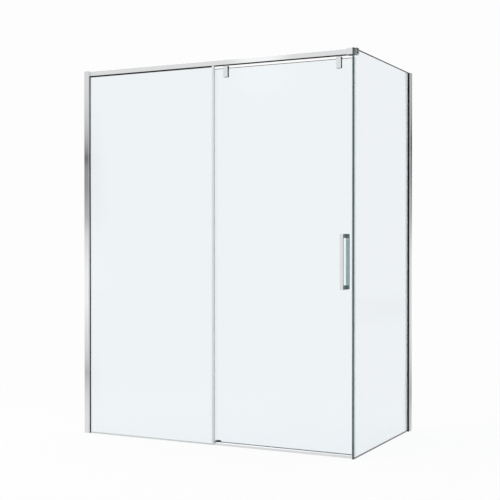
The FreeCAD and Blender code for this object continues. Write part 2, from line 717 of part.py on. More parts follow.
extrusion(
    "rail_pocket_filler",
    ("strip_right + fit_gap", "0", "rail_bottom"),
    "YZ",
    [
        [
            ("-rail_gasket", "0"),
            ("glass_thickness + rail_gasket", "0"),
            ("glass_thickness + rail_gasket", "filler_height"),
            ("glass_thickness + rail_gasket - filler_wall", "filler_height"),
            ("glass_thickness + rail_gasket - filler_wall", "filler_wall"),
            ("filler_wall - rail_gasket", "filler_wall"),
            ("filler_wall - rail_gasket", "filler_height"),
            ("-rail_gasket", "filler_height"),
        ]
    ],
    "rail_right - strip_right - fit_gap",
)

# Wall bracket: its foot lies on the left wall channel and its tongue runs into the roller channel
CHANNEL_BACK = "glass_thickness + wet_overhang"
BRACKET_MIDDLE = "(track_floor + track_roof) / 2"
BRACKET_LOW = f"{BRACKET_MIDDLE} - wall_bracket_height / 2"
TONGUE_END = "rail_left + wall_bracket_tongue"
bracket = extrusion(
    "rail_wall_bracket",
    ("0", "0", BRACKET_LOW),
    "XY",
    [
        [
            ("wall_bracket_inset", CHANNEL_BACK),
            (TONGUE_END, CHANNEL_BACK),
            (TONGUE_END, "track_rear"),
            ("rail_left + fit_gap", "track_rear"),
            ("rail_left + fit_gap", f"{CHANNEL_BACK} + wall_bracket_thickness"),
            ("wall_bracket_inset", f"{CHANNEL_BACK} + wall_bracket_thickness"),
        ]
    ],
    "wall_bracket_height",
)
FOOT_NEAR = "wall_bracket_inset + foot_screw_inset"
FOOT_FAR = f"{FOOT_NEAR} + wall_bracket_pitch"
TONGUE_FAR = f"{TONGUE_END} - tongue_screw_inset"
TONGUE_NEAR = f"{TONGUE_FAR} - wall_bracket_pitch"
foot_holes = [(across, "wall_bracket_height / 2", SCREW_HOLE) for across in (FOOT_NEAR, FOOT_FAR)]
tongue_holes = [(across, "wall_bracket_height / 2", SCREW_HOLE) for across in (TONGUE_NEAR, TONGUE_FAR)]
cut(bracket, "XZ", CHANNEL_BACK, f"{CHANNEL_BACK} + wall_bracket_thickness", circles=foot_holes)
cut(bracket, "XZ", CHANNEL_BACK, "track_rear", circles=tongue_holes)
level_holes = [(across, BRACKET_MIDDLE, SCREW_HOLE) for across in (FOOT_NEAR, FOOT_FAR)]
CHANNEL_RIM = "channel_width / 2 - channel_shift"
GLAZING_RIM = "glazing_half - channel_shift"
cut(left_channel, "XZ", f"{CHANNEL_RIM} - channel_wall", CHANNEL_RIM, circles=level_holes)
cut(left_glazing, "XZ", f"{GLAZING_RIM} - glazing_wall", GLAZING_RIM, circles=level_holes)

FIX_NEAR = "corner_left + corner_fix_inset"
FIX_FAR = f"{FIX_NEAR} + corner_fix_pitch"
rail_bores = []
for across in (TONGUE_NEAR, TONGUE_FAR, FIX_NEAR, FIX_FAR):
    rail_bores.append((f"{across} - rail_left", f"{BRACKET_MIDDLE} - rail_bottom", SCREW_HOLE))
cut(rail, "XZ", "rail_depth - rail_wall", "rail_depth", circles=rail_bores)
soften(rail, "Fillet", "rail_round", runs(0, [
    ("0", "rail_height"), ("rail_depth", "rail_height"), ("rail_depth", "0")]))

# Corner bracket: a sleeve on the rail's end, clamped to the return glass by an outer plate
CORNER_DEPTH = "rail_depth + corner_wall * 2"
CORNER_HEIGHT = "enclosure_height - corner_floor"
corner = extrusion("rail_corner_bracket", ("corner_left", "corner_front", "corner_floor"), "YZ",
                   [rectangle("0", "0", CORNER_DEPTH, CORNER_HEIGHT)], "corner_length")
sleeve = rectangle("corner_wall - corner_clearance", "corner_wall",
                   "corner_wall + rail_depth + corner_clearance",
                   "corner_wall + rail_height + corner_clearance")
cut(corner, "YZ", "0", "corner_length - corner_end", outlines=[sleeve])
corner_bores = []
for sign in "-+":
    corner_bores.append(
        (
            f"clamp_mid - corner_front {sign} corner_screw_pitch / 2",
            "clamp_height - corner_floor",
            "corner_screw_radius + screw_clearance",
        )
    )
cut(corner, "YZ", "corner_length - corner_end", "corner_length", circles=corner_bores)
corner_fix_bores = []
for across in (FIX_NEAR, FIX_FAR):
    corner_fix_bores.append((f"{across} - corner_left", f"{BRACKET_MIDDLE} - corner_floor", SCREW_HOLE))
cut(corner, "XZ", "corner_wall + rail_depth", CORNER_DEPTH, circles=corner_fix_bores)
soften(corner, "Fillet", "corner_round", runs(0, [
    ("0", "0"), (CORNER_DEPTH, "0"), ("0", CORNER_HEIGHT), (CORNER_DEPTH, CORNER_HEIGHT)]))

PLATE_AT = ("enclosure_width + corner_pad", "clamp_front", "corner_floor")
plate = extrusion("corner_clamp_plate", PLATE_AT, "YZ",
                  [rectangle("0", "0", "corner_plate_depth", CORNER_HEIGHT)], "corner_plate")
plate_bores = []
plate_sinks = []
pad_bores = []
for sign in "-+":
    back = f"corner_plate_depth / 2 {sign} corner_screw_pitch / 2"
    level = "clamp_height - corner_floor"
    plate_bores.append((back, level, "corner_screw_radius + screw_clearance"))
    plate_sinks.append((back, level, "corner_screw_head_radius + screw_clearance"))
    pad_bores.append((back, level, "glass_hole_radius"))
SINK_FLOOR = "corner_plate - corner_screw_head_height"
cut(plate, "YZ", "0", SINK_FLOOR, circles=plate_bores)
cut(plate, "YZ", SINK_FLOOR, "corner_plate", circles=plate_sinks)
soften(plate, "Fillet", "corner_round", runs(0, [
    ("0", "0"), ("corner_plate_depth", "0"), ("0", CORNER_HEIGHT), ("corner_plate_depth", CORNER_HEIGHT)]))

clamp_pads = []
for name, across in (("inner", "corner_right"), ("outer", "enclosure_width")):
    outline = rectangle("0", "0", "corner_plate_depth", "return_top - corner_floor")
    clamp_pads.append(drawn(f"clamp_pad_{name}", (across, "clamp_front", "corner_floor"), "YZ", [outline],
                            "corner_pad", pad_bores))
group("corner_clamp_pads", clamp_pads)

clamp_bushes = []
clamp_screws = []
for name, sign in (("front", "-"), ("rear", "+")):
    back = f"clamp_mid {sign} corner_screw_pitch / 2"
    bush_at = ("corner_right", back, "clamp_height")
    clamp_bushes.append(ring(f"clamp_bush_{name}", bush_at, "+X", "bush_radius",
                             "corner_screw_radius + screw_clearance", "glass_thickness + corner_pad * 2"))
    seat = (f"enclosure_width + corner_pad + {SINK_FLOOR}", back, "clamp_height")
    shank = f"{SINK_FLOOR} + corner_pad * 2 + glass_thickness + corner_screw_bite"
    clamp_screws.append(screw(f"clamp_screw_{name}", seat, "-X", shank, "corner_screw_radius",
                              "corner_screw_head_radius", "corner_screw_head_height"))
group("corner_clamp_bushes", clamp_bushes)
group("corner_clamp_screws", clamp_screws)

rail_screws = []
for name, across, seat_back, length in (
    ("foot_near", FOOT_NEAR, f"{CHANNEL_BACK} + wall_bracket_thickness", "wall_bracket_screw_length"),
    ("foot_far", FOOT_FAR, f"{CHANNEL_BACK} + wall_bracket_thickness", "wall_bracket_screw_length"),
    ("tongue_near", TONGUE_NEAR, "rail_rear", "wall_bracket_screw_length"),
    ("tongue_far", TONGUE_FAR, "rail_rear", "wall_bracket_screw_length"),
    ("corner_near", FIX_NEAR, "rail_rear + corner_wall", "corner_fix_length"),
    ("corner_far", FIX_FAR, "rail_rear + corner_wall", "corner_fix_length"),
):
    rail_screws.append(small_screw(f"rail_screw_{name}", (across, seat_back, BRACKET_MIDDLE), "-Y", length))
group("rail_bracket_screws", rail_screws)

# Threshold bar and floor guide
THRESHOLD_LEFT = "strip_right + fit_gap"
extrusion(
    "threshold_bar",
    (THRESHOLD_LEFT, "threshold_setback", "0"),
    "YZ",
    [
        [
            ("0", "0"),
            ("threshold_depth", "0"),
            ("threshold_depth", "threshold_height"),
            ("threshold_slope", "threshold_height"),
            ("0", "threshold_height - threshold_slope"),
        ],
        rectangle("threshold_wall", "threshold_wall", "threshold_depth - threshold_wall",
                  "threshold_height - threshold_slope - threshold_wall"),
    ],
    f"return_inner - fit_gap - ({THRESHOLD_LEFT})",
)

extrusion(
    "door_guide",
    ("strip_right + guide_gap", "track_mid", "0"),
    "YZ",
    [
        [
            ("-guide_slot / 2 - guide_cheek", "0"),
            ("guide_slot / 2 + guide_cheek", "0"),
            ("guide_slot / 2 + guide_cheek", "guide_height"),
            ("guide_slot / 2 + guide_slope", "guide_height"),
            ("guide_slot / 2", "guide_height - guide_slope"),
            ("guide_slot / 2", "guide_base"),
            ("-guide_slot / 2", "guide_base"),
            ("-guide_slot / 2", "guide_height - guide_slope"),
            ("-guide_slot / 2 - guide_slope", "guide_height"),
            ("-guide_slot / 2 - guide_cheek", "guide_height"),
        ]
    ],
    "guide_length",
)

# Door glass with holes for two hangers and one pair of handles
HANGERS = {"left": "left_hanger", "right": "right_hanger"}
SCREW_LEVELS = {
    "low": "hanger_bottom + hanger_screw_low",
    "high": "hanger_bottom + hanger_screw_low + hanger_screw_pitch",
}
POST_LEVELS = {"low": "handle_height - handle_post_offset", "high": "handle_height + handle_post_offset"}
door_holes = []
for across in HANGERS.values():
    for level in SCREW_LEVELS.values():
        door_holes.append((f"{across} - door_left", f"{level} - door_floor_gap", "glass_hole_radius"))
for level in POST_LEVELS.values():
    door_holes.append(("handle_mid - door_left", f"{level} - door_floor_gap", "glass_hole_radius"))
pane("door_glass", ("door_left", "door_front", "door_floor_gap"), "XZ", "door_right - door_left",
     "door_top - door_floor_gap", door_holes)

# Door seals: a bulb on the strike edge, a fin on the trailing edge and a clip under the glass
SEAL_TOP = "door_top - fit_gap"
SEAL_LENGTH = f"{SEAL_TOP} - door_floor_gap"
extrusion(
    "door_strike_seal",
    ("door_right", "track_mid", "door_floor_gap"),
    "XY",
    [
        [
            ("-seal_grip", "-glass_thickness / 2 - seal_wall"),
            ("seal_wall", "-glass_thickness / 2 - seal_wall"),
            ("seal_wall", "-seal_bulb_width / 2"),
            ("door_strike_gap - fit_gap", "-seal_bulb_tip / 2"),
            ("door_strike_gap - fit_gap", "seal_bulb_tip / 2"),
            ("seal_wall", "seal_bulb_width / 2"),
            ("seal_wall", "glass_thickness / 2 + seal_wall"),
            ("-seal_grip", "glass_thickness / 2 + seal_wall"),
            ("-seal_grip", "glass_thickness / 2"),
            ("0", "glass_thickness / 2"),
            ("0", "-glass_thickness / 2"),
            ("-seal_grip", "-glass_thickness / 2"),
        ],
        [
            ("seal_wall * 2", "seal_wall - seal_bulb_width / 2"),
            ("door_strike_gap - fit_gap - seal_wall", "seal_wall - seal_bulb_tip / 2"),
            ("door_strike_gap - fit_gap - seal_wall", "seal_bulb_tip / 2 - seal_wall"),
            ("seal_wall * 2", "seal_bulb_width / 2 - seal_wall"),
        ],
    ],
    SEAL_LENGTH,
)

FIN_FRONT = "glass_thickness + strip_wall + fit_gap - track_mid"
extrusion(
    "door_trailing_seal",
    ("door_left", "track_mid", "door_floor_gap"),
    "XY",
    [
        [
            ("-seal_wall", "-glass_thickness / 2 - seal_wall"),
            ("0", "-glass_thickness / 2 - seal_wall"),
            ("seal_fin_lean", FIN_FRONT),
            ("seal_fin_lean + seal_wall", FIN_FRONT),
            ("seal_wall * 2", "-glass_thickness / 2 - seal_wall"),
            ("seal_grip", "-glass_thickness / 2 - seal_wall"),
            ("seal_grip", "-glass_thickness / 2"),
            ("0", "-glass_thickness / 2"),
            ("0", "glass_thickness / 2"),
            ("seal_grip", "glass_thickness / 2"),
            ("seal_grip", "glass_thickness / 2 + seal_wall"),
            ("-seal_wall", "glass_thickness / 2 + seal_wall"),
        ]
    ],
    SEAL_LENGTH,
)

CLIP_LEFT = "door_left + seal_grip + fit_gap"
CLIP_RIGHT = "door_right - seal_grip - fit_gap"
CLIP_HALF = "glass_thickness / 2 + bottom_seal_wall"
extrusion(
    "door_bottom_seal",
    (CLIP_LEFT, "track_mid", "door_floor_gap"),
    "YZ",
    [
        [
            ("-glass_thickness / 2 - bottom_seal_wall", "-bottom_seal_wall"),
            ("-bottom_fin_thickness / 2", "-bottom_seal_wall"),
            ("-bottom_fin_thickness / 2", "-bottom_seal_wall - bottom_fin"),
            ("bottom_fin_thickness / 2", "-bottom_seal_wall - bottom_fin"),
            ("bottom_fin_thickness / 2", "-bottom_seal_wall"),
            (CLIP_HALF, "-bottom_seal_wall"),
            (CLIP_HALF, "bottom_seal_grip"),
            ("glass_thickness / 2", "bottom_seal_grip"),
            ("glass_thickness / 2", "0"),
            ("-glass_thickness / 2", "0"),
            ("-glass_thickness / 2", "bottom_seal_grip"),
            ("-glass_thickness / 2 - bottom_seal_wall", "bottom_seal_grip"),
        ]
    ],
    f"{CLIP_RIGHT} - ({CLIP_LEFT})",
)

# Hangers: a front leg and bridge in one block, a rear plate, pads, bushes and clamp screws
HANGER_HALF = "hanger_width / 2"
LEG_DEPTH = "hanger_leg + hanger_pad * 2 + glass_thickness + hanger_plate"
PLATE_HEIGHT = "hanger_bridge - fit_gap - hanger_bottom"
clamp_plates = []
hanger_pads = []
hanger_bushes = []
hanger_screws = []
for side, across in HANGERS.items():
    block = extrusion(
        f"{side}_hanger_block",
        (f"{across} - {HANGER_HALF}", "hanger_front", "hanger_bottom"),
        "YZ",
        [
            [
                ("0", "0"),
                ("hanger_leg", "0"),
                ("hanger_leg", "hanger_bridge - hanger_bottom"),
                (LEG_DEPTH, "hanger_bridge - hanger_bottom"),
                (LEG_DEPTH, "hanger_top - hanger_bottom"),
                ("0", "hanger_top - hanger_bottom"),
            ]
        ],
        "hanger_width",
    )
    stud_hole = (HANGER_HALF, "track_mid - hanger_front", "stud_radius + screw_clearance")
    cut(block, "XY", "hanger_bridge - hanger_bottom", "hanger_top - hanger_bottom", circles=[stud_hole])
    leg_bores = []
    plate_holes = []
    pad_holes = []
    for name, level in SCREW_LEVELS.items():
        up = f"{level} - hanger_bottom"
        leg_bores.append((HANGER_HALF, up, SCREW_HOLE))
        plate_holes.append((HANGER_HALF, up, SCREW_HOLE))
        pad_holes.append((HANGER_HALF, up, "glass_hole_radius"))
        bush_at = (across, "door_front - hanger_pad", level)
        hanger_bushes.append(ring(f"{side}_hanger_bush_{name}", bush_at, "+Y", "bush_radius", SCREW_HOLE,
                                  "glass_thickness + hanger_pad * 2"))
        shank = "hanger_plate + hanger_pad * 2 + glass_thickness + hanger_screw_bite"
        hanger_screws.append(small_screw(f"{side}_hanger_screw_{name}", (across, "hanger_rear", level),
                                         "-Y", shank))
    cut(block, "XZ", "hanger_leg - hanger_screw_bite", "hanger_leg", circles=leg_bores)
    soften(block, "Fillet", "hanger_round", within(1, "0"))

    for kind, back, depth, height, holes, found in (
        ("plate", "door_rear + hanger_pad", "hanger_plate", PLATE_HEIGHT, plate_holes, clamp_plates),
        ("front_pad", "door_front - hanger_pad", "hanger_pad", "hanger_drop", pad_holes, hanger_pads),
        ("rear_pad", "door_rear", "hanger_pad", "hanger_drop", pad_holes, hanger_pads),
    ):
        found.append(drawn(f"{side}_hanger_{kind}", (f"{across} - {HANGER_HALF}", back, "hanger_bottom"),
                           "XZ", [rectangle("0", "0", "hanger_width", height)], depth, holes))
group("hanger_clamps", clamp_plates)
group("hanger_pads", hanger_pads)
group("hanger_bushes", hanger_bushes)
group("hanger_screws", hanger_screws)

# Trolleys on the hanger studs, with an axle bush at each end
trolley_bushes = []
studs = []
nuts = []
AXLES = {}
for side, across in HANGERS.items():
    trolley = extrusion(
        f"{side}_trolley",
        (f"{across} - trolley_length / 2", "track_mid - trolley_thickness / 2", "trolley_floor"),
        "XZ",
        [rectangle("0", "0", "trolley_length", "trolley_height")],
        "trolley_thickness",
    )
    bores = []
    for end, sign in (("left", "-"), ("right", "+")):
        bores.append(
            (
                f"trolley_length / 2 {sign} axle_pitch / 2",
                "axle_height - trolley_floor",
                "axle_bush_radius + press_clearance",
            )
        )
        axle_across = f"{across} {sign} axle_pitch / 2"
        AXLES[f"{side}_trolley_{end}"] = axle_across
        bush_at = (axle_across, "track_mid - trolley_thickness / 2", "axle_height")
        trolley_bushes.append(ring(f"{side}_{end}_bush", bush_at, "+Y", "axle_bush_radius",
                                   "axle_radius + axle_clearance", "trolley_thickness"))
    cut(trolley, "XZ", "0", "trolley_thickness", circles=bores)
    stud_hole = ("trolley_length / 2", "trolley_thickness / 2", "stud_radius + screw_clearance")
    cut(trolley, "XY", "0", "trolley_height", circles=[stud_hole])
    soften(trolley, "Fillet", "trolley_round", runs(1, [
        ("0", "0"), ("trolley_length", "0"), ("0", "trolley_height"), ("trolley_length", "trolley_height")]))
    stud_length = "trolley_top + nut_height + stud_end - hanger_bridge"
    studs.append(cylinder(f"{side}_stud", (across, "track_mid", "hanger_bridge"), "+Z", "stud_radius",
                          stud_length))
    nut_bar = prism(f"{side}_nut_bar", (across, "track_mid", "trolley_top"), "+Z", "nut_radius", "nut_height")
    nut_hole = cylinder(f"{side}_nut_hole", (across, "track_mid", "trolley_top"), "+Z",
                        "stud_radius + screw_clearance", "nut_height")
    nuts.append(boolean("Part::Cut", f"{side}_nut", nut_bar, nut_hole))
group("trolley_bushes", trolley_bushes)
group("hanger_studs", studs)
group("hanger_nuts", nuts)

# Wheelsets: two wheels pressed on one turning axle
for name, across in AXLES.items():
    axle = cylinder(f"{name}_axle", (across, "wheel_front", "axle_height"), "+Y", "axle_radius",
                    "wheel_rear - wheel_front")
    sub_part(axle, f"{name}_axle")
    wheels = []
    for row, back in (("front", "wheel_front"), ("rear", "wheel_rear - wheel_width")):
        rims = [("0", "0", "wheel_radius"), ("0", "0", "axle_radius + press_clearance")]
        wheel = drawn(f"{name}_{row}_wheel", (across, back, "axle_height"), "XZ", [], "wheel_width", rims)
        outer = number("wheel_radius")
        soften(wheel, "Fillet", "wheel_round",
               lambda edge: edge.Closed and abs(edge.Length / edge.ParameterRange[1] - outer) < CLOSE)
        wheels.append(wheel)
    group(f"{name}_wheels", wheels)

# Door stops in the roller channel, each with a rubber buffer facing its trolley
CLOSING_FACE = "right_hanger + trolley_length / 2 + fit_gap"
OPENING_FACE = "left_hanger - trolley_length / 2 - door_travel - fit_gap"
stops = []
buffers = []
stop_screws = []
for name, face, out in (("closing", CLOSING_FACE, "+X"), ("opening", OPENING_FACE, "-X")):
    face_at = (face, "track_mid", "trolley_floor + trolley_height / 2")
    buffers.append(cylinder(f"{name}_buffer", face_at, out, "buffer_radius", "buffer_length"))
    near = f"{face} {out[0]} buffer_length"
    low = near if out == "+X" else f"{near} - stop_length"
    block = doc.addObject("Part::Box", f"{name}_stop_block")
    block.setExpression("Length", full("stop_length"))
    block.setExpression("Width", full("track_rear - track_front - stop_side_gap * 2"))
    block.setExpression("Height", full("stop_height"))
    place(block, (low, "track_front + stop_side_gap", "track_floor"))
    screw_at = (f"{low} + stop_length / 2", "track_mid", "track_floor")
    hole = cylinder(f"{name}_stop_hole", screw_at, "+Z", "stop_screw_radius + screw_clearance", "stop_height")
    stops.append(boolean("Part::Cut", f"{name}_stop", block, hole))
    set_bar = cylinder(f"{name}_set_bar", screw_at, "+Z", "stop_screw_radius", "track_roof - track_floor")
    set_socket = prism(f"{name}_set_socket", screw_at, "+Z", "screw_socket_radius", "screw_socket_depth")
    stop_screws.append(boolean("Part::Cut", f"{name}_set_screw", set_bar, set_socket))
group("rail_stops", stops)
group("stop_buffers", buffers)
group("stop_screws", stop_screws)

# Handles: a bar on two posts on each face of the door, drawn together by studs
HANDLE_LEFT = "handle_mid - handle_width / 2"
handle_washers = []
handle_bushes = []
handle_studs = []
OUTER_POST = "door_front - handle_washer - handle_reach"
INNER_POST = "door_rear + handle_washer"
for side, bar_back, post_back, hole_start in (
    ("outer", "handle_front", OUTER_POST, "handle_reach - handle_stud_bite"),
    ("inner", "handle_rear - handle_thickness", INNER_POST, "0"),
):
    bar = extrusion(
        f"{side}_handle_bar",
        (HANDLE_LEFT, bar_back, "handle_height - handle_length / 2"),
        "XY",
        [rectangle("0", "0", "handle_width", "handle_thickness")],
        "handle_length",
    )
    soften(bar, "Fillet", "handle_round", lambda edge: True)
    posts = []
    for name, level in POST_LEVELS.items():
        post = drawn(f"{side}_{name}_post", (HANDLE_LEFT, post_back, f"{level} - handle_post / 2"), "XZ",
                     [rectangle("0", "0", "handle_width", "handle_post")], "handle_reach")
        stud_hole = ("handle_width / 2", "handle_post / 2", "handle_stud_radius + screw_clearance")
        cut(post, "XZ", hole_start, f"{hole_start} + handle_stud_bite", circles=[stud_hole])
        posts.append(post)
        washer_at = ("handle_mid", "door_front - handle_washer" if side == "outer" else "door_rear", level)
        handle_washers.append(ring(f"{side}_{name}_washer", washer_at, "+Y", "handle_width / 2",
                                   "glass_hole_radius", "handle_washer"))
    group(f"{side}_handle_posts", posts)
for name, level in POST_LEVELS.items():
    bush_at = ("handle_mid", "door_front - handle_washer", level)
    handle_bushes.append(ring(f"handle_bush_{name}", bush_at, "+Y", "bush_radius",
                              "handle_stud_radius + screw_clearance", "glass_thickness + handle_washer * 2"))
    stud_at = ("handle_mid", "door_front - handle_washer - handle_stud_bite", level)
    handle_studs.append(cylinder(f"handle_stud_{name}", stud_at, "+Y", "handle_stud_radius",
                                 "glass_thickness + handle_washer * 2 + handle_stud_bite * 2"))
group("handle_washers", handle_washers)
group("handle_bushes", handle_bushes)
group("handle_studs", handle_studs)
doc.recompute()

# Check every object, every cut and every sub-part, then write the sub-parts
for item in doc.Objects:
    if "Invalid" in item.State or "Error" in item.State:
        raise RuntimeError(f"{item.Label} failed: {item.State}")
for label, base, pocket in cuts:
    if pocket.Shape.Volume >= base.Shape.Volume - 0.01:
        raise RuntimeError(f"{label} has a cut that removes nothing")
for piece in sub_parts:
    if piece.Shape.isNull() or not piece.Shape.isValid() or not piece.Shape.Solids:
        raise RuntimeError(f"{piece.Label} has no valid solid")
os.makedirs("parts", exist_ok=True)
for piece in sub_parts:
    piece.Shape.exportStep(f"parts/{piece.Label}.step")
print(len(sub_parts), "sub-parts,", sum(len(piece.Shape.Solids) for piece in sub_parts), "solids")
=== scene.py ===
import math

import bmesh
import bpy
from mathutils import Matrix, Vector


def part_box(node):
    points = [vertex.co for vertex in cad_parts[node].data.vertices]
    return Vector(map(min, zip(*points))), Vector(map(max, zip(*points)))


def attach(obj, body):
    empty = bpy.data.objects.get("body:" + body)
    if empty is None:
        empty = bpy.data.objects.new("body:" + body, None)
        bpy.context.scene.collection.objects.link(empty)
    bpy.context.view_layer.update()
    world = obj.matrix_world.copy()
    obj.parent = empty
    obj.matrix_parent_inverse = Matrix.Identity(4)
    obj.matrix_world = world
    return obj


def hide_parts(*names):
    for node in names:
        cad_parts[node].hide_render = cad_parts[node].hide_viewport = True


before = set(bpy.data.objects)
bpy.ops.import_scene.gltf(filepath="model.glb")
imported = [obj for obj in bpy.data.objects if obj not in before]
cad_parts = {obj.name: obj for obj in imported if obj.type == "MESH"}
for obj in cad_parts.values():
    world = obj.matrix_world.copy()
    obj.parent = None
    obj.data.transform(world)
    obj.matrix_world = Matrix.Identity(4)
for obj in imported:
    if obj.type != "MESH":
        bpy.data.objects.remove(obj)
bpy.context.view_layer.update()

# The studio: a pale floor that runs up to a white backdrop, with a wide soft lamp overhead at the
# left. Polished metal and glass also mirror a room: a window in front, a dark slot over a dado and a
# rug on both sides, a card behind each side and a carpet far behind. They draw the metal's edges.
MM = 0.001
WHITE = "FFFFFF"
BACKDROP = "FDFDFD"
FRONT_LIGHT = 0.92
BACK_LIGHT = 0.9
GLOW_LIGHT = 0.2


def linear(code):
    """The linear colour of an sRGB hex value."""
    tones = [int(code[at:at + 2], 16) / 255 for at in (0, 2, 4)]
    return [tone / 12.92 if tone <= 0.04045 else ((tone + 0.055) / 1.055) ** 2.4 for tone in tones] + [1.0]


def add(tree, kind, inputs=None, **settings):
    """Add a node with its settings; an input given as a socket is linked, any other is set."""
    node = tree.nodes.new(kind)
    for name, value in settings.items():
        setattr(node, name, value)
    for name, value in (inputs or {}).items():
        if isinstance(value, bpy.types.NodeSocket):
            tree.links.new(value, node.inputs[name])
        else:
            node.inputs[name].default_value = value
    return node


def emptied(owner):
    """The node tree of a material or world, with nothing in it."""
    owner.use_nodes = True
    owner.node_tree.nodes.clear()
    return owner.node_tree


def placed(piece):
    """Put an object into the scene."""
    bpy.context.scene.collection.objects.link(piece)
    return piece


def patch(tree, level, amount, *spans):
    """A level with an amount of light or shade added to it in one patch.

    Each span of the patch is a value and pairs of places, where it starts and where it is full.
    """
    for value, pairs in spans:
        for start, full in pairs:
            share = add(tree, "ShaderNodeMapRange", {
                "Value": value, "From Min": start, "From Max": full,
            }, interpolation_type="SMOOTHSTEP")
            part = add(tree, "ShaderNodeMath", {
                0: share.outputs["Result"], 1: amount,
            }, operation="MULTIPLY")
            amount = part.outputs[0]
    return add(tree, "ShaderNodeMath", {0: level, 1: amount}, operation="ADD").outputs[0]


def faded(tree, value, middle, reach, shade):
    """A shade that is deepest at a middle place and fades away on both sides of it."""
    off = add(tree, "ShaderNodeMath", {0: value, 1: middle}, operation="SUBTRACT")
    away = add(tree, "ShaderNodeMath", {0: off.outputs[0]}, operation="ABSOLUTE")
    share = add(tree, "ShaderNodeMath", {0: math.exp(-1 / reach), 1: away.outputs[0]}, operation="POWER")
    return add(tree, "ShaderNodeMath", {0: share.outputs[0], 1: shade}, operation="MULTIPLY").outputs[0]


def seen_mirrored(tree):
    """One where a reflection has turned the light on its way, and nought where none has."""
    return add(tree, "ShaderNodeMath", {
        0: add(tree, "ShaderNodeLightPath").outputs["Glossy Depth"], 1: 0.5,
    }, operation="GREATER_THAN").outputs[0]


def seen_white(tree):
    """One where the eye meets the backdrop straight or through glass, and nought in a reflection."""
    path = add(tree, "ShaderNodeLightPath").outputs
    straight = add(tree, "ShaderNodeMath", {
        0: path["Is Camera Ray"], 1: path["Is Transmission Ray"],
    }, operation="MAXIMUM")
    return add(tree, "ShaderNodeMath", {
        0: straight.outputs[0], 1: seen_mirrored(tree),
    }, operation="GREATER_THAN").outputs[0]


scene = bpy.context.scene
scene.view_settings.view_transform = "Standard"

camera = placed(bpy.data.objects.new("camera", bpy.data.cameras.new("camera")))
camera.data.sensor_width = 36.0
camera.data.lens = 74.987
camera.location = (2.5949, -5.1698, 1.0641)
camera.rotation_euler = (math.radians(89.473), 0.0, math.radians(26.576))
scene.camera = camera

# What stands in the room, by its place across, back or up in a direction of length one. A pair says
# where a thing starts and where it is full. A slot is its middle, its reach and its shade. A shade is
# below nought, as it takes light away.
ROOM_LIGHT = 0.9
IN_FRONT = ((0.001, -0.001),)
BEHIND = ((-0.001, 0.001),)
WALLS_MEET = ((-0.1, 0.1),)
WINDOW_LIGHT = 0.25
WINDOW_ACROSS = ((-0.462, -0.44), (-0.402, -0.424))
WINDOW_UP = ((0.13, 0.15), (0.22, 0.20))
LEFT_WALL = ((-0.560, -0.577),)
LEFT_SLOT = (0.077, 0.030, -0.8)
LEFT_DADO = ((0.002, 0.025), (0.073, 0.047))
LEFT_DADO_SHADE = -0.26
LEFT_GLOW = ((-0.10, -0.045), (0.01, -0.04))
RIGHT_WALL = ((0.20, 0.22), (0.3084, 0.3070))
RIGHT_SLOT = (0.088, 0.030, -0.75)
RIGHT_DADO = ((-0.02, 0.035), (0.09, 0.06))
RIGHT_DADO_SHADE = -0.6
RIGHT_HEAD = ((0.06, 0.10),)
RIGHT_HEAD_SHADE = -0.4
DARKEST = -1.0
HIGH_CARD = "17191A"
LOW_CARD = "5E746F"
CARD_TONE_STEP = ((0.10, 0.14),)
CARD_UP = ((-0.12, -0.10), (0.26, 0.24))
CARD_NEAR_EDGE = 0.358
CARD_EDGE_JOG = -0.012
CARD_EDGE_STEP = ((0.1735, 0.1755),)
CARD_EDGE_BLUR = ((-0.0007, 0.0007),)
CARD_FAR_EDGE = ((0.52, 0.50),)
scene.world = bpy.data.worlds.new("studio room")
tree = emptied(scene.world)
way = add(tree, "ShaderNodeSeparateXYZ", {0: add(tree, "ShaderNodeTexCoord").outputs["Generated"]}).outputs

shade = faded(tree, way["Z"], *LEFT_SLOT)
shade = patch(tree, shade, LEFT_DADO_SHADE, (way["Z"], LEFT_DADO))
shade = patch(tree, shade, GLOW_LIGHT, (way["Z"], LEFT_GLOW))
level = patch(tree, 1.0, shade, (way["Y"], IN_FRONT), (way["X"], LEFT_WALL))

shade = faded(tree, way["Z"], *RIGHT_SLOT)
shade = patch(tree, shade, RIGHT_DADO_SHADE, (way["Z"], RIGHT_DADO))
shade = patch(tree, shade, RIGHT_HEAD_SHADE, (way["Z"], RIGHT_HEAD))
shade = add(tree, "ShaderNodeMath", {0: shade, 1: DARKEST}, operation="MAXIMUM").outputs[0]
level = patch(tree, level, shade, (way["Y"], BEHIND), (way["X"], RIGHT_WALL))

walls = patch(tree, FRONT_LIGHT, BACK_LIGHT - FRONT_LIGHT, (way["Y"], WALLS_MEET))
lit = add(tree, "ShaderNodeMath", {0: walls, 1: level}, operation="MULTIPLY").outputs[0]
lit = patch(tree, lit, WINDOW_LIGHT, (way["Y"], IN_FRONT), (way["X"], WINDOW_ACROSS),
            (way["Z"], WINDOW_UP))

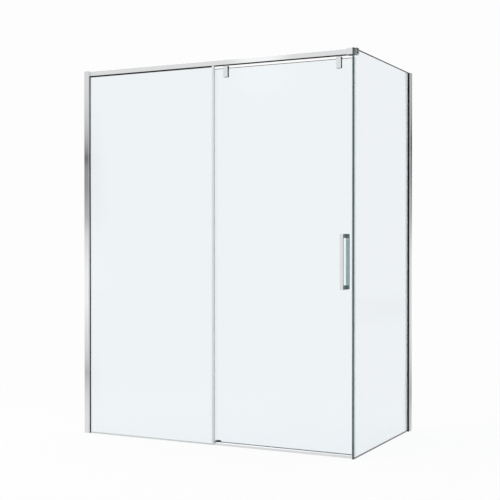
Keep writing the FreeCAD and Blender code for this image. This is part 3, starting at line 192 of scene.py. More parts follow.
aside = add(tree, "ShaderNodeMath", {0: way["X"]}, operation="ABSOLUTE").outputs[0]
edge = patch(tree, CARD_NEAR_EDGE, CARD_EDGE_JOG, (way["Z"], CARD_EDGE_STEP))
past = add(tree, "ShaderNodeMath", {0: aside, 1: edge}, operation="SUBTRACT").outputs[0]
card_tone = add(tree, "ShaderNodeMix", {
    0: patch(tree, 0.0, 1.0, (way["Z"], CARD_TONE_STEP)), 6: linear(LOW_CARD), 7: linear(HIGH_CARD),
}, data_type="RGBA")
card = patch(tree, 0.0, 1.0, (way["Y"], BEHIND), (past, CARD_EDGE_BLUR), (aside, CARD_FAR_EDGE),
             (way["Z"], CARD_UP))
tone = add(tree, "ShaderNodeMix", {0: card, 6: linear(WHITE), 7: card_tone.outputs[2]}, data_type="RGBA")
mirrored = add(tree, "ShaderNodeBackground", {"Color": tone.outputs[2], "Strength": lit})
even = add(tree, "ShaderNodeBackground", {"Color": linear(WHITE), "Strength": ROOM_LIGHT})
room = add(tree, "ShaderNodeMixShader", {
    0: seen_mirrored(tree), 1: even.outputs["Background"], 2: mirrored.outputs["Background"],
})
white = add(tree, "ShaderNodeBackground", {"Color": linear(BACKDROP)})
both = add(tree, "ShaderNodeMixShader", {
    0: seen_white(tree), 1: room.outputs["Shader"], 2: white.outputs["Background"],
})
add(tree, "ShaderNodeOutputWorld", {"Surface": both.outputs["Shader"]})

# What lies on the floor, in metres, with pairs as in the room. A lane is a band aslant, by its place
# along the line across it. A rug is its middle, its reach and its shade.
FLOOR_PAINT = "F4F4F4"
CARPET = "2A2C2D"
CARPET_RUN = ((6.0, 8.0), (14.0, 12.0))
CARPET_WIDTH = ((-11.0, -9.0), (-1.5, -2.5))
LEFT_LANE = ((-0.62, -0.54), (-0.25, -0.38))
LEFT_LANE_LINE = (0.814, -0.581, 0.0)
LEFT_RUG = (-2.6, 1.15, -0.36)
FAR_GLOW = ((-4.5, -11.5),)
RIGHT_LANE = ((0.46, 0.54), (0.66, 0.64))
RIGHT_LANE_LINE = (0.952, -0.306, 0.0)
RIGHT_RUG = (1.7, 1.8, -0.55)
RIGHT_RUG_EDGE = ((0.4, 0.5),)
FLOORS_MEET = ((-1.0, 1.0),)
SHADE_SHARE = 0.12
MIRRORED_SHARE = 0.4
SHADE_REACH = ((3.0, 1.0),)
floor_paint = bpy.data.materials.new("pale studio floor")
tree = emptied(floor_paint)
place = add(tree, "ShaderNodeTexCoord").outputs["Object"]
reach = add(tree, "ShaderNodeVectorMath", {0: place}, operation="LENGTH").outputs["Value"]
shaded = add(tree, "ShaderNodeBsdfDiffuse", {"Color": linear(WHITE)})
bright = add(tree, "ShaderNodeEmission", {"Color": linear(BACKDROP)})
shown = add(tree, "ShaderNodeMixShader", {
    0: patch(tree, 0.0, SHADE_SHARE, (reach, SHADE_REACH)), 1: bright.outputs["Emission"],
    2: shaded.outputs["BSDF"],
})

spot = add(tree, "ShaderNodeSeparateXYZ", {0: place}).outputs
carpet = patch(tree, 0.0, 1.0, (spot["Y"], CARPET_RUN), (spot["X"], CARPET_WIDTH))
tone = add(tree, "ShaderNodeMix", {0: carpet, 6: linear(WHITE), 7: linear(CARPET)}, data_type="RGBA")
shade = patch(tree, faded(tree, spot["Y"], *LEFT_RUG), GLOW_LIGHT, (spot["Y"], FAR_GLOW))
line = add(tree, "ShaderNodeVectorMath", {0: place, 1: LEFT_LANE_LINE}, operation="DOT_PRODUCT")
level = patch(tree, 1.0, shade, (line.outputs["Value"], LEFT_LANE))
shade = faded(tree, spot["Y"], *RIGHT_RUG)
line = add(tree, "ShaderNodeVectorMath", {0: place, 1: RIGHT_LANE_LINE}, operation="DOT_PRODUCT")
level = patch(tree, level, shade, (line.outputs["Value"], RIGHT_LANE), (spot["Y"], RIGHT_RUG_EDGE))
bare = patch(tree, FRONT_LIGHT, BACK_LIGHT - FRONT_LIGHT, (spot["Y"], FLOORS_MEET))
lit = add(tree, "ShaderNodeMath", {0: bare, 1: level}, operation="MULTIPLY").outputs[0]
glowing = add(tree, "ShaderNodeEmission", {"Color": tone.outputs[2], "Strength": lit})
mirrored = add(tree, "ShaderNodeMixShader", {
    0: patch(tree, 0.0, MIRRORED_SHARE, (reach, SHADE_REACH)), 1: glowing.outputs["Emission"],
    2: shaded.outputs["BSDF"],
})
paint = add(tree, "ShaderNodeBsdfDiffuse", {"Color": linear(FLOOR_PAINT)})
lighting = add(tree, "ShaderNodeMixShader", {
    0: seen_mirrored(tree), 1: paint.outputs["BSDF"], 2: mirrored.outputs["Shader"],
})
both = add(tree, "ShaderNodeMixShader", {
    0: seen_white(tree), 1: lighting.outputs["Shader"], 2: shown.outputs["Shader"],
})
add(tree, "ShaderNodeOutputMaterial", {"Surface": both.outputs["Shader"]})

FLOOR_HALF = 14.0
FLOOR_DROP = 0.2 * MM
floor_mesh = bpy.data.meshes.new("floor")
floor_mesh.from_pydata(
    [(x, y, -FLOOR_DROP) for x, y in ((-FLOOR_HALF, -FLOOR_HALF), (FLOOR_HALF, -FLOOR_HALF),
                                      (FLOOR_HALF, FLOOR_HALF), (-FLOOR_HALF, FLOOR_HALF))],
    [], [(0, 1, 2, 3)])
floor_mesh.materials.append(floor_paint)
placed(bpy.data.objects.new("floor", floor_mesh))

LAMP_AT = (-2.2, -3.0, 4.2)
LAMP_AIM = (0.2, 0.0, 0.9)
lamp = bpy.data.lights.new("soft light", "AREA")
lamp.shape = "SQUARE"
lamp.size = 3.0
lamp.energy = 60.0
light = placed(bpy.data.objects.new("soft light", lamp))
light.location = LAMP_AT
across, back, up = [goal - at for goal, at in zip(LAMP_AIM, LAMP_AT)]
light.rotation_euler = (math.atan2(math.hypot(across, back), -up), 0.0, math.atan2(-across, back))

# Wall channels and the glazing channels that telescope in them: aluminium extrusions with a
# bright plated skin, one pair on each wall. Drawing through the die leaves faint lines along
# their length, which blur a reflection a little more across than along.
DIE_LINE = 1.6 * MM
DIE_RUN = 600 * MM


def dress(material, *names):
    """Give CAD nodes a finish."""
    for name in names:
        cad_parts[name].material_slots[0].material = material


def drawn_bright(name, code, length_axis):
    """Bright plated aluminium: a near mirror with fine draw lines along one axis."""
    material = bpy.data.materials.new(name)
    tree = emptied(material)
    pitch = [1 / DIE_LINE] * 3
    pitch[length_axis] = 1 / DIE_RUN
    along = add(tree, "ShaderNodeMapping", {
        "Vector": add(tree, "ShaderNodeTexCoord").outputs["Object"], "Scale": pitch,
    })
    lines = add(tree, "ShaderNodeTexNoise", {
        "Vector": along.outputs["Vector"], "Scale": 1.0, "Detail": 3.0,
    })
    gloss = add(tree, "ShaderNodeMapRange", {"Value": lines.outputs["Fac"], "To Min": 0.02, "To Max": 0.05})
    relief = add(tree, "ShaderNodeBump", {
        "Height": lines.outputs["Fac"], "Strength": 0.06, "Distance": 0.1 * MM,
    })
    metal = add(tree, "ShaderNodeBsdfPrincipled", {
        "Base Color": linear(code), "Metallic": 1.0, "Roughness": gloss.outputs["Result"],
        "Normal": relief.outputs["Normal"],
    })
    add(tree, "ShaderNodeOutputMaterial", {"Surface": metal.outputs["BSDF"]})
    return material


upright_bright = drawn_bright("bright plated aluminium, upright", "E4E5E6", 2)
dress(upright_bright, "left_wall_channel", "left_glazing_channel", "right_wall_channel",
      "right_glazing_channel")

# Glazing gaskets: black rubber strips pressed between glass and channel on the dry side, extruded in
# one length. The skin is matt with a fine grit and the faint ripple of a cold extruder.
RUBBER_GRIT = 0.8 * MM
RUBBER_RIPPLE = 14 * MM
gasket_rubber = bpy.data.materials.new("black extruded rubber")
tree = emptied(gasket_rubber)
coords = add(tree, "ShaderNodeTexCoord").outputs["Object"]
grit = add(tree, "ShaderNodeTexNoise", {"Vector": coords, "Scale": 1 / RUBBER_GRIT, "Detail": 2.0})
ripple = add(tree, "ShaderNodeTexNoise", {"Vector": coords, "Scale": 1 / RUBBER_RIPPLE, "Detail": 1.0})
tone = add(tree, "ShaderNodeMix", {
    0: ripple.outputs["Fac"], 6: linear("0C0D0E"), 7: linear("151718"),
}, data_type="RGBA")
gloss = add(tree, "ShaderNodeMapRange", {"Value": grit.outputs["Fac"], "To Min": 0.5, "To Max": 0.75})
relief = add(tree, "ShaderNodeBump", {"Height": grit.outputs["Fac"], "Strength": 0.2, "Distance": 0.1 * MM})
rubber = add(tree, "ShaderNodeBsdfPrincipled", {
    "Base Color": tone.outputs[2], "Roughness": gloss.outputs["Result"], "IOR": 1.52,
    "Specular IOR Level": 0.15, "Normal": relief.outputs["Normal"],
})
add(tree, "ShaderNodeOutputMaterial", {"Surface": rubber.outputs["BSDF"]})
dress(gasket_rubber, "left_cover_gasket", "right_cover_gasket")

# Channel caps: small moulded plates of plated plastic that close the tops of the wall channels.
# They are nearly as bright as the metal but show the soft orange peel of a moulded skin.
PEEL = 2.5 * MM
cap_plastic = bpy.data.materials.new("plated moulded plastic")
tree = emptied(cap_plastic)
peel = add(tree, "ShaderNodeTexNoise", {
    "Vector": add(tree, "ShaderNodeTexCoord").outputs["Object"], "Scale": 1 / PEEL, "Detail": 1.0,
})
gloss = add(tree, "ShaderNodeMapRange", {"Value": peel.outputs["Fac"], "To Min": 0.14, "To Max": 0.24})
relief = add(tree, "ShaderNodeBump", {"Height": peel.outputs["Fac"], "Strength": 0.1, "Distance": 0.2 * MM})
plated = add(tree, "ShaderNodeBsdfPrincipled", {
    "Base Color": linear("D6D8D9"), "Metallic": 1.0, "Roughness": gloss.outputs["Result"],
    "Normal": relief.outputs["Normal"],
})
add(tree, "ShaderNodeOutputMaterial", {"Surface": plated.outputs["BSDF"]})
dress(cap_plastic, "left_channel_cap", "right_channel_cap")

# Screws: stainless pan heads with a hexagon socket, turned and tumbled, so their edges are soft.
# One tree of nodes makes the head and shank and sets a copy on every point of a group.
TUMBLE = 1.2 * MM
HEAD_SIDES = 32
DOME_STEPS = ((0.3, 0.93), (0.2, 0.8))
SHARP_FROM = math.radians(35)
screw_steel = bpy.data.materials.new("tumbled stainless steel")
tree = emptied(screw_steel)
tumble = add(tree, "ShaderNodeTexNoise", {
    "Vector": add(tree, "ShaderNodeTexCoord").outputs["Object"], "Scale": 1 / TUMBLE, "Detail": 3.0,
})
gloss = add(tree, "ShaderNodeMapRange", {"Value": tumble.outputs["Fac"], "To Min": 0.2, "To Max": 0.38})
relief = add(tree, "ShaderNodeBump", {
    "Height": tumble.outputs["Fac"], "Strength": 0.1, "Distance": 0.1 * MM,
})
steel = add(tree, "ShaderNodeBsdfPrincipled", {
    "Base Color": linear("C4C5C6"), "Metallic": 1.0, "Roughness": gloss.outputs["Result"],
    "Normal": relief.outputs["Normal"],
})
add(tree, "ShaderNodeOutputMaterial", {"Surface": steel.outputs["BSDF"]})

screw_tree = bpy.data.node_groups.new("pan head screws", "GeometryNodeTree")
screw_tree.interface.new_socket("Seats", in_out="INPUT", socket_type="NodeSocketGeometry")
for size in ("Head radius", "Head height", "Shank radius", "Socket radius", "Socket depth"):
    screw_tree.interface.new_socket(size, in_out="INPUT", socket_type="NodeSocketFloat")
screw_tree.interface.new_socket("Finish", in_out="INPUT", socket_type="NodeSocketMaterial")
screw_tree.interface.new_socket("Screws", in_out="OUTPUT", socket_type="NodeSocketGeometry")
given = add(screw_tree, "NodeGroupInput").outputs
half = add(screw_tree, "ShaderNodeMath", {0: given["Head height"], 1: 0.5}, operation="MULTIPLY")
quarter = add(screw_tree, "ShaderNodeMath", {0: given["Head height"], 1: 0.25}, operation="MULTIPLY")
side = add(screw_tree, "GeometryNodeMeshCylinder", {
    "Vertices": HEAD_SIDES, "Radius": given["Head radius"], "Depth": half.outputs[0],
})
seat = add(screw_tree, "GeometryNodeTransform", {
    "Geometry": side.outputs["Mesh"],
    "Translation": add(screw_tree, "ShaderNodeCombineXYZ", {"Z": quarter.outputs[0]}).outputs["Vector"],
})
crown, selected = seat.outputs["Geometry"], side.outputs["Top"]
for lift, shrink in DOME_STEPS:
    rise = add(screw_tree, "ShaderNodeMath", {0: given["Head height"], 1: lift}, operation="MULTIPLY")
    ring = add(screw_tree, "GeometryNodeExtrudeMesh", {
        "Mesh": crown, "Selection": selected, "Offset Scale": rise.outputs[0], "Individual": False,
    })
    drawn_in = add(screw_tree, "GeometryNodeScaleElements", {
        "Geometry": ring.outputs["Mesh"], "Selection": ring.outputs["Top"], "Scale": shrink,
    })
    crown, selected = drawn_in.outputs["Geometry"], ring.outputs["Top"]
depth = add(screw_tree, "ShaderNodeMath", {0: given["Socket depth"], 1: 2.0}, operation="MULTIPLY")
hexagon = add(screw_tree, "GeometryNodeMeshCylinder", {
    "Vertices": 6, "Radius": given["Socket radius"], "Depth": depth.outputs[0],
})
sunk = add(screw_tree, "GeometryNodeTransform", {
    "Geometry": hexagon.outputs["Mesh"],
    "Translation": add(screw_tree, "ShaderNodeCombineXYZ", {"Z": given["Head height"]}).outputs["Vector"],
})
head = add(screw_tree, "GeometryNodeMeshBoolean", {
    "Mesh 1": crown, "Mesh 2": sunk.outputs["Geometry"],
}, operation="DIFFERENCE")
bar = add(screw_tree, "GeometryNodeMeshCylinder", {
    "Vertices": HEAD_SIDES, "Radius": given["Shank radius"], "Depth": 1.0,
})
shank = add(screw_tree, "GeometryNodeTransform", {
    "Geometry": bar.outputs["Mesh"], "Translation": (0, 0, -0.5),
})
aim = add(screw_tree, "GeometryNodeInputNamedAttribute", {"Name": "aim"}, data_type="FLOAT_VECTOR")
turn = add(screw_tree, "FunctionNodeAlignRotationToVector", {"Vector": aim.outputs["Attribute"]}, axis="Z")
reach = add(screw_tree, "GeometryNodeInputNamedAttribute", {"Name": "reach"}, data_type="FLOAT")
stretch = add(screw_tree, "ShaderNodeCombineXYZ", {"X": 1.0, "Y": 1.0, "Z": reach.outputs["Attribute"]})
points = add(screw_tree, "GeometryNodeMeshToPoints", {"Mesh": given["Seats"]})
heads = add(screw_tree, "GeometryNodeInstanceOnPoints", {
    "Points": points.outputs["Points"], "Instance": head.outputs["Mesh"],
    "Rotation": turn.outputs["Rotation"],
})
shanks = add(screw_tree, "GeometryNodeInstanceOnPoints", {
    "Points": points.outputs["Points"], "Instance": shank.outputs["Geometry"],
    "Rotation": turn.outputs["Rotation"], "Scale": stretch.outputs["Vector"],
})
joined = add(screw_tree, "GeometryNodeJoinGeometry", {"Geometry": heads.outputs["Instances"]})
screw_tree.links.new(shanks.outputs["Instances"], joined.inputs["Geometry"])
solid = add(screw_tree, "GeometryNodeRealizeInstances", {"Geometry": joined.outputs["Geometry"]})
coated = add(screw_tree, "GeometryNodeSetMaterial", {
    "Geometry": solid.outputs["Geometry"], "Material": given["Finish"],
})
add(screw_tree, "NodeGroupOutput", {"Screws": coated.outputs["Geometry"]})

PAN_HEAD = {
    "Head radius": 3.8 * MM, "Head height": 2.4 * MM, "Shank radius": 2.0 * MM, "Socket radius": 1.7 * MM,
    "Socket depth": 1.4 * MM,
}


def grown(name, tree, seats, sizes):
    """The plain mesh that a tree of nodes makes on points, each with a direction and a length."""
    mesh = bpy.data.meshes.new(name)
    mesh.from_pydata([seat[0] for seat in seats], [], [])
    mesh.attributes.new("aim", "FLOAT_VECTOR", "POINT")
    mesh.attributes.new("reach", "FLOAT", "POINT")
    for index, seat in enumerate(seats):
        mesh.attributes["aim"].data[index].vector = seat[1]
        mesh.attributes["reach"].data[index].value = seat[2]
    piece = placed(bpy.data.objects.new(name, mesh))
    modifier = piece.modifiers.new(name, "NODES")
    modifier.node_group = tree
    for item in tree.interface.items_tree:
        if item.name in sizes:
            modifier[item.identifier] = sizes[item.name]
    made = piece.evaluated_get(bpy.context.evaluated_depsgraph_get())
    whole = bpy.data.meshes.new_from_object(made)
    piece.modifiers.remove(modifier)
    piece.data = whole
    whole.shade_smooth()
    whole.set_sharp_from_angle(angle=SHARP_FROM)
    return piece


def screws(node, body, seats, sizes):
    """Screws that stand in for a CAD group, on the body that the group rides on."""
    piece = grown(f"{node}_turned", screw_tree, seats, {**sizes, "Finish": screw_steel})
    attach(piece, body)
    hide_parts(node)


CHANNEL_MIDDLE = 997 * MM
CHANNEL_PITCH = 750 * MM
CHANNEL_SHANK = 5 * MM
LEFT_SEAT = (-783.5 * MM, -404.0 * MM)
RIGHT_SEAT = (773.5 * MM, 427.0 * MM)
channel_seats = []
for step in (-1, 0, 1):
    level = CHANNEL_MIDDLE + step * CHANNEL_PITCH
    channel_seats.append(((*LEFT_SEAT, level), (0, 1, 0), CHANNEL_SHANK))
    channel_seats.append(((*RIGHT_SEAT, level), (-1, 0, 0), CHANNEL_SHANK))
screws("channel_screws", "frame", channel_seats, PAN_HEAD)

# Panes: clear toughened float glass, 8 mm thick, with ground and polished edges. The faces are almost
# colourless with a cool cast, and let light from the lamps through to what stands behind. An edge
# shows the depth of the sheet, so it is a dark blue green. Bands of face beside the head, foot and
# front edges are painted in an edge finish, nearly black at the head and foot: a painted reflection
# of the edge as it shows through the face.
FLOAT_WAVE = 260 * MM
GRIND = 1.5 * MM
FACE_TINT = "F0F5F8"
EDGE_TINT = "465E5B"
# Painted reflection: the near-black head and foot edges and the bands of face beside them.
EDGE_PAINTED_REFLECTION_TINT = "1B2322"
HAIR = 0.001 * MM
SQUARE_ON = 0.99


def lamp_clear(tree, surface, code):
    """Let light from the lamps through a glass surface, tinted, on its way to what is behind it."""
    clear = add(tree, "ShaderNodeBsdfTransparent", {"Color": linear(code)})
    both = add(tree, "ShaderNodeMixShader", {
        0: add(tree, "ShaderNodeLightPath").outputs["Is Shadow Ray"], 1: surface, 2: clear.outputs["BSDF"],
    })
    add(tree, "ShaderNodeOutputMaterial", {"Surface": both.outputs["Shader"]})


face_glass = bpy.data.materials.new("clear float glass")
tree = emptied(face_glass)
wave = add(tree, "ShaderNodeTexNoise", {
    "Vector": add(tree, "ShaderNodeTexCoord").outputs["Object"], "Scale": 1 / FLOAT_WAVE, "Detail": 0.0,
})
relief = add(tree, "ShaderNodeBump", {"Height": wave.outputs["Fac"], "Strength": 0.02, "Distance": 1 * MM})
sheet = add(tree, "ShaderNodeBsdfPrincipled", {
    "Base Color": linear(FACE_TINT), "Roughness": 0.0, "IOR": 1.5, "Transmission Weight": 1.0,
    "Normal": relief.outputs["Normal"],
})
lamp_clear(tree, sheet.outputs["BSDF"], FACE_TINT)


def glass_edge(name, code):
    """The ground edge of a pane: a faint grain, and little light through it."""
    material = bpy.data.materials.new(name)
    tree = emptied(material)
    grind = add(tree, "ShaderNodeTexNoise", {
        "Vector": add(tree, "ShaderNodeTexCoord").outputs["Object"], "Scale": 1 / GRIND, "Detail": 2.0,
    })
    gloss = add(tree, "ShaderNodeMapRange", {"Value": grind.outputs["Fac"], "To Min": 0.12, "To Max": 0.3})
    rim = add(tree, "ShaderNodeBsdfPrincipled", {
        "Base Color": linear(code), "Roughness": gloss.outputs["Result"], "IOR": 1.5,
        "Specular IOR Level": 0.2, "Transmission Weight": 0.1,
    })
    lamp_clear(tree, rim.outputs["BSDF"], code)
    return material


# Both edge finishes are also painted on bands of face beside the open edges: a painted reflection of the
# edge seen through the face.
edge_and_painted_band_glass = glass_edge("polished glass edge", EDGE_TINT)
edge_painted_reflection_glass = glass_edge("polished glass edge, head and foot, painted reflection", EDGE_PAINTED_REFLECTION_TINT)


def pane(node, body, through, foot_painted_band=0.0, top_painted_band=0.0, front_painted_band=0.0):
    """A sheet of glass in the place of its CAD solid, with its edges finished apart from its faces.

    An edge that lies open shows through the faces as a dark line. Here it is painted as a rim: a band of
    face beside that edge gets an edge finish, a painted reflection.
    """
    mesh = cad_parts[node].data.copy()
    mesh.materials.clear()
    for finish in (face_glass, edge_and_painted_band_glass, edge_painted_reflection_glass):
        mesh.materials.append(finish)
    shape = bmesh.new()
    shape.from_mesh(mesh)
    bmesh.ops.remove_doubles(shape, verts=shape.verts, dist=HAIR)
    low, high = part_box(node)
    foot, top, front = low.z + foot_painted_band, high.z - top_painted_band, low.y + front_painted_band
    cuts = ((foot_painted_band, (0, 0, foot), (0, 0, 1)), (top_painted_band, (0, 0, top), (0, 0, 1)),
            (front_painted_band, (0, front, 0), (0, 1, 0)))
    for rim, place, way in cuts:
        if rim:
            bmesh.ops.bisect_plane(shape, geom=shape.verts[:] + shape.edges[:] + shape.faces[:],
                                   plane_co=place, plane_no=way)
    for face in shape.faces:
        middle = face.calc_center_median()
        flat = abs(face.normal[through]) > SQUARE_ON
        upright = foot < middle.z < top
        clear = flat and upright and middle.y > front - HAIR
        face.material_index = 0 if clear else 1 if upright else 2
        face.smooth = False
    shape.to_mesh(mesh)
    shape.free()
    piece = placed(bpy.data.objects.new(f"{node}_sheet", mesh))
    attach(piece, body)
    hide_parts(node)


pane("fixed_glass", "frame", 1)
# Painted reflection: dark bands of face at the foot, head and front edge of the return pane.
pane("side_glass", "frame", 0, foot_painted_band=3.6 * MM, top_painted_band=5.5 * MM, front_painted_band=6 * MM)

# Strips on the fixed pane: light grey PVC, extruded. One is clipped on the free edge of the pane and
# one holds its foot. Their satin skin has a faint mottle. The wedges on the wet side of the panes, in
# the glazing channels, are of a white PVC.
MOTTLE = 9 * MM
SATIN_GRAIN = 0.9 * MM


def satin_pvc(name, low, high):
    """Extruded PVC with a satin skin: a mottle between two tones."""
    material = bpy.data.materials.new(name)
    tree = emptied(material)
    coords = add(tree, "ShaderNodeTexCoord").outputs["Object"]
    mottle = add(tree, "ShaderNodeTexNoise", {"Vector": coords, "Scale": 1 / MOTTLE, "Detail": 2.0})
    grain = add(tree, "ShaderNodeTexNoise", {"Vector": coords, "Scale": 1 / SATIN_GRAIN, "Detail": 2.0})
    tone = add(tree, "ShaderNodeMix", {
        0: mottle.outputs["Fac"], 6: linear(low), 7: linear(high),
    }, data_type="RGBA")
    gloss = add(tree, "ShaderNodeMapRange", {"Value": grain.outputs["Fac"], "To Min": 0.35, "To Max": 0.55})
    relief = add(tree, "ShaderNodeBump", {
        "Height": grain.outputs["Fac"], "Strength": 0.12, "Distance": 0.1 * MM,
    })
    pvc = add(tree, "ShaderNodeBsdfPrincipled", {
        "Base Color": tone.outputs[2], "Roughness": gloss.outputs["Result"], "IOR": 1.53,
        "Normal": relief.outputs["Normal"],
    })
    add(tree, "ShaderNodeOutputMaterial", {"Surface": pvc.outputs["BSDF"]})
    return material


dress(satin_pvc("light grey satin PVC", "CDD2D0", "D8DDDB"), "fixed_edge_strip", "fixed_floor_strip")
dress(satin_pvc("white satin PVC", "F8FAFA", "FCFDFD"), "wedge_gaskets")

# Header rail: one bright plated aluminium extrusion along the front, with a pocket for the fixed
# pane and a roller channel behind it. Black rubber grips the pane and a black strip closes the
# empty part of the pocket.
level_bright = drawn_bright("bright plated aluminium, level", "E4E5E6", 0)
dress(level_bright, "header_rail")
dress(gasket_rubber, "rail_glass_gaskets", "rail_pocket_filler")

# Rail bracket at the left wall: a machined stainless block that the rail's end slides over, with
# its foot on the wall channel. The cutter leaves fine rings that show as a soft streak.
CUTTER_MARK = 0.7 * MM
WAVE_STEPS = 20
milled_steel = bpy.data.materials.new("milled stainless steel")
tree = emptied(milled_steel)
marks = add(tree, "ShaderNodeTexWave", {
    "Vector": add(tree, "ShaderNodeTexCoord").outputs["Object"], "Scale": 1 / (CUTTER_MARK * WAVE_STEPS),
    "Distortion": 3.0, "Detail": 2.0,
}, bands_direction="DIAGONAL")
gloss = add(tree, "ShaderNodeMapRange", {"Value": marks.outputs["Fac"], "To Min": 0.22, "To Max": 0.36})
relief = add(tree, "ShaderNodeBump", {
    "Height": marks.outputs["Fac"], "Strength": 0.08, "Distance": 0.1 * MM,
})
milled = add(tree, "ShaderNodeBsdfPrincipled", {
    "Base Color": linear("BEBFC0"), "Metallic": 1.0, "Roughness": gloss.outputs["Result"],
    "Normal": relief.outputs["Normal"],
})
add(tree, "ShaderNodeOutputMaterial", {"Surface": milled.outputs["BSDF"]})
dress(milled_steel, "rail_wall_bracket")

RAIL_SCREW_LEVEL = 1982.5 * MM
RAIL_SCREWS_ACROSS_BACK_LENGTH = (
    (-791.5, -398.0, 9), (-777.5, -398.0, 9), (-758.2, -383.5, 9), (-744.2, -383.5, 9),
    (750.5, -381.5, 5), (762.5, -381.5, 5),
)
rail_seats = []
for across, back, length in RAIL_SCREWS_ACROSS_BACK_LENGTH:
    rail_seats.append(((across * MM, back * MM, RAIL_SCREW_LEVEL), (0, 1, 0), length * MM))
screws("rail_bracket_screws", "frame", rail_seats, PAN_HEAD)

# Corner fitting: a cast zinc sleeve on the rail's end and a cast plate outside the return pane,
# both polished and chrome plated, with clear pads and white bushes between metal and glass.
POLISH = 11 * MM


def polished_chrome(name, code):
    """Chrome on a polished casting: a mirror with the broad swirl of the mop."""
    material = bpy.data.materials.new(name)
    tree = emptied(material)
    swirl = add(tree, "ShaderNodeTexNoise", {
        "Vector": add(tree, "ShaderNodeTexCoord").outputs["Object"], "Scale": 1 / POLISH, "Detail": 2.0,
    })
    gloss = add(tree, "ShaderNodeMapRange", {
        "Value": swirl.outputs["Fac"], "To Min": 0.015, "To Max": 0.035,
    })
    relief = add(tree, "ShaderNodeBump", {
        "Height": swirl.outputs["Fac"], "Strength": 0.03, "Distance": 0.2 * MM,
    })
    chrome = add(tree, "ShaderNodeBsdfPrincipled", {
        "Base Color": linear(code), "Metallic": 1.0, "Roughness": gloss.outputs["Result"],
        "Normal": relief.outputs["Normal"],
    })
    add(tree, "ShaderNodeOutputMaterial", {"Surface": chrome.outputs["BSDF"]})
    return material


cast_chrome = polished_chrome("polished chrome on cast zinc", "E4E6E7")
dress(cast_chrome, "rail_corner_bracket", "corner_clamp_plate")

CLOUD = 6 * MM
pad_vinyl = bpy.data.materials.new("clear soft vinyl")
tree = emptied(pad_vinyl)
cloud = add(tree, "ShaderNodeTexNoise", {
    "Vector": add(tree, "ShaderNodeTexCoord").outputs["Object"], "Scale": 1 / CLOUD, "Detail": 2.0,
})
tone = add(tree, "ShaderNodeMix", {
    0: cloud.outputs["Fac"], 6: linear("D5DCDA"), 7: linear("E2E8E6"),
}, data_type="RGBA")
gloss = add(tree, "ShaderNodeMapRange", {"Value": cloud.outputs["Fac"], "To Min": 0.25, "To Max": 0.4})
vinyl = add(tree, "ShaderNodeBsdfPrincipled", {
    "Base Color": tone.outputs[2], "Roughness": gloss.outputs["Result"], "IOR": 1.53,
    "Transmission Weight": 0.45,
})
add(tree, "ShaderNodeOutputMaterial", {"Surface": vinyl.outputs["BSDF"]})
dress(pad_vinyl, "corner_clamp_pads")

NYLON_GRAIN = 1.1 * MM
bush_nylon = bpy.data.materials.new("natural nylon")
tree = emptied(bush_nylon)
grain = add(tree, "ShaderNodeTexNoise", {
    "Vector": add(tree, "ShaderNodeTexCoord").outputs["Object"], "Scale": 1 / NYLON_GRAIN, "Detail": 2.0,
})
tone = add(tree, "ShaderNodeMix", {
    0: grain.outputs["Fac"], 6: linear("E6E4DC"), 7: linear("EFEEE8"),
}, data_type="RGBA")
gloss = add(tree, "ShaderNodeMapRange", {"Value": grain.outputs["Fac"], "To Min": 0.4, "To Max": 0.55})
nylon = add(tree, "ShaderNodeBsdfPrincipled", {
    "Base Color": tone.outputs[2], "Roughness": gloss.outputs["Result"], "IOR": 1.53,
})
add(tree, "ShaderNodeOutputMaterial", {"Surface": nylon.outputs["BSDF"]})
dress(bush_nylon, "corner_clamp_bushes")

CLAMP_HEAD = {**PAN_HEAD, "Head radius": 4.5 * MM, "Head height": 3.0 * MM, "Shank radius": 2.5 * MM}
CLAMP_FACE = 791.5 * MM
CLAMP_LEVEL = 1984 * MM
CLAMP_SHANK = 18 * MM
CLAMP_SCREWS_BACK = (-410.0 * MM, -390.0 * MM)
clamp_seats = []
for back in CLAMP_SCREWS_BACK:
    clamp_seats.append(((CLAMP_FACE, back, CLAMP_LEVEL), (1, 0, 0), CLAMP_SHANK))
screws("corner_clamp_screws", "frame", clamp_seats, CLAMP_HEAD)

# Threshold: a hollow anodised aluminium bar on the floor under the door, brushed along its length
# before anodising, so it is a soft silver rather than a mirror.
BRUSH_HAIR = 0.5 * MM
BRUSH_RUN = 80 * MM
brushed_bar = bpy.data.materials.new("brushed anodised aluminium")
tree = emptied(brushed_bar)
along = add(tree, "ShaderNodeMapping", {
    "Vector": add(tree, "ShaderNodeTexCoord").outputs["Object"],
    "Scale": (1 / BRUSH_RUN, 1 / BRUSH_HAIR, 1 / BRUSH_HAIR),
})
hairs = add(tree, "ShaderNodeTexNoise", {"Vector": along.outputs["Vector"], "Scale": 1.0, "Detail": 4.0})
tone = add(tree, "ShaderNodeMix", {
    0: hairs.outputs["Fac"], 6: linear("DADBDC"), 7: linear("E8E9EA"),
}, data_type="RGBA")
gloss = add(tree, "ShaderNodeMapRange", {"Value": hairs.outputs["Fac"], "To Min": 0.26, "To Max": 0.42})
relief = add(tree, "ShaderNodeBump", {
    "Height": hairs.outputs["Fac"], "Strength": 0.1, "Distance": 0.1 * MM,
})
brushed = add(tree, "ShaderNodeBsdfPrincipled", {
    "Base Color": tone.outputs[2], "Metallic": 1.0, "Roughness": gloss.outputs["Result"],
    "Normal": relief.outputs["Normal"],
})
add(tree, "ShaderNodeOutputMaterial", {"Surface": brushed.outputs["BSDF"]})
dress(brushed_bar, "threshold_bar")

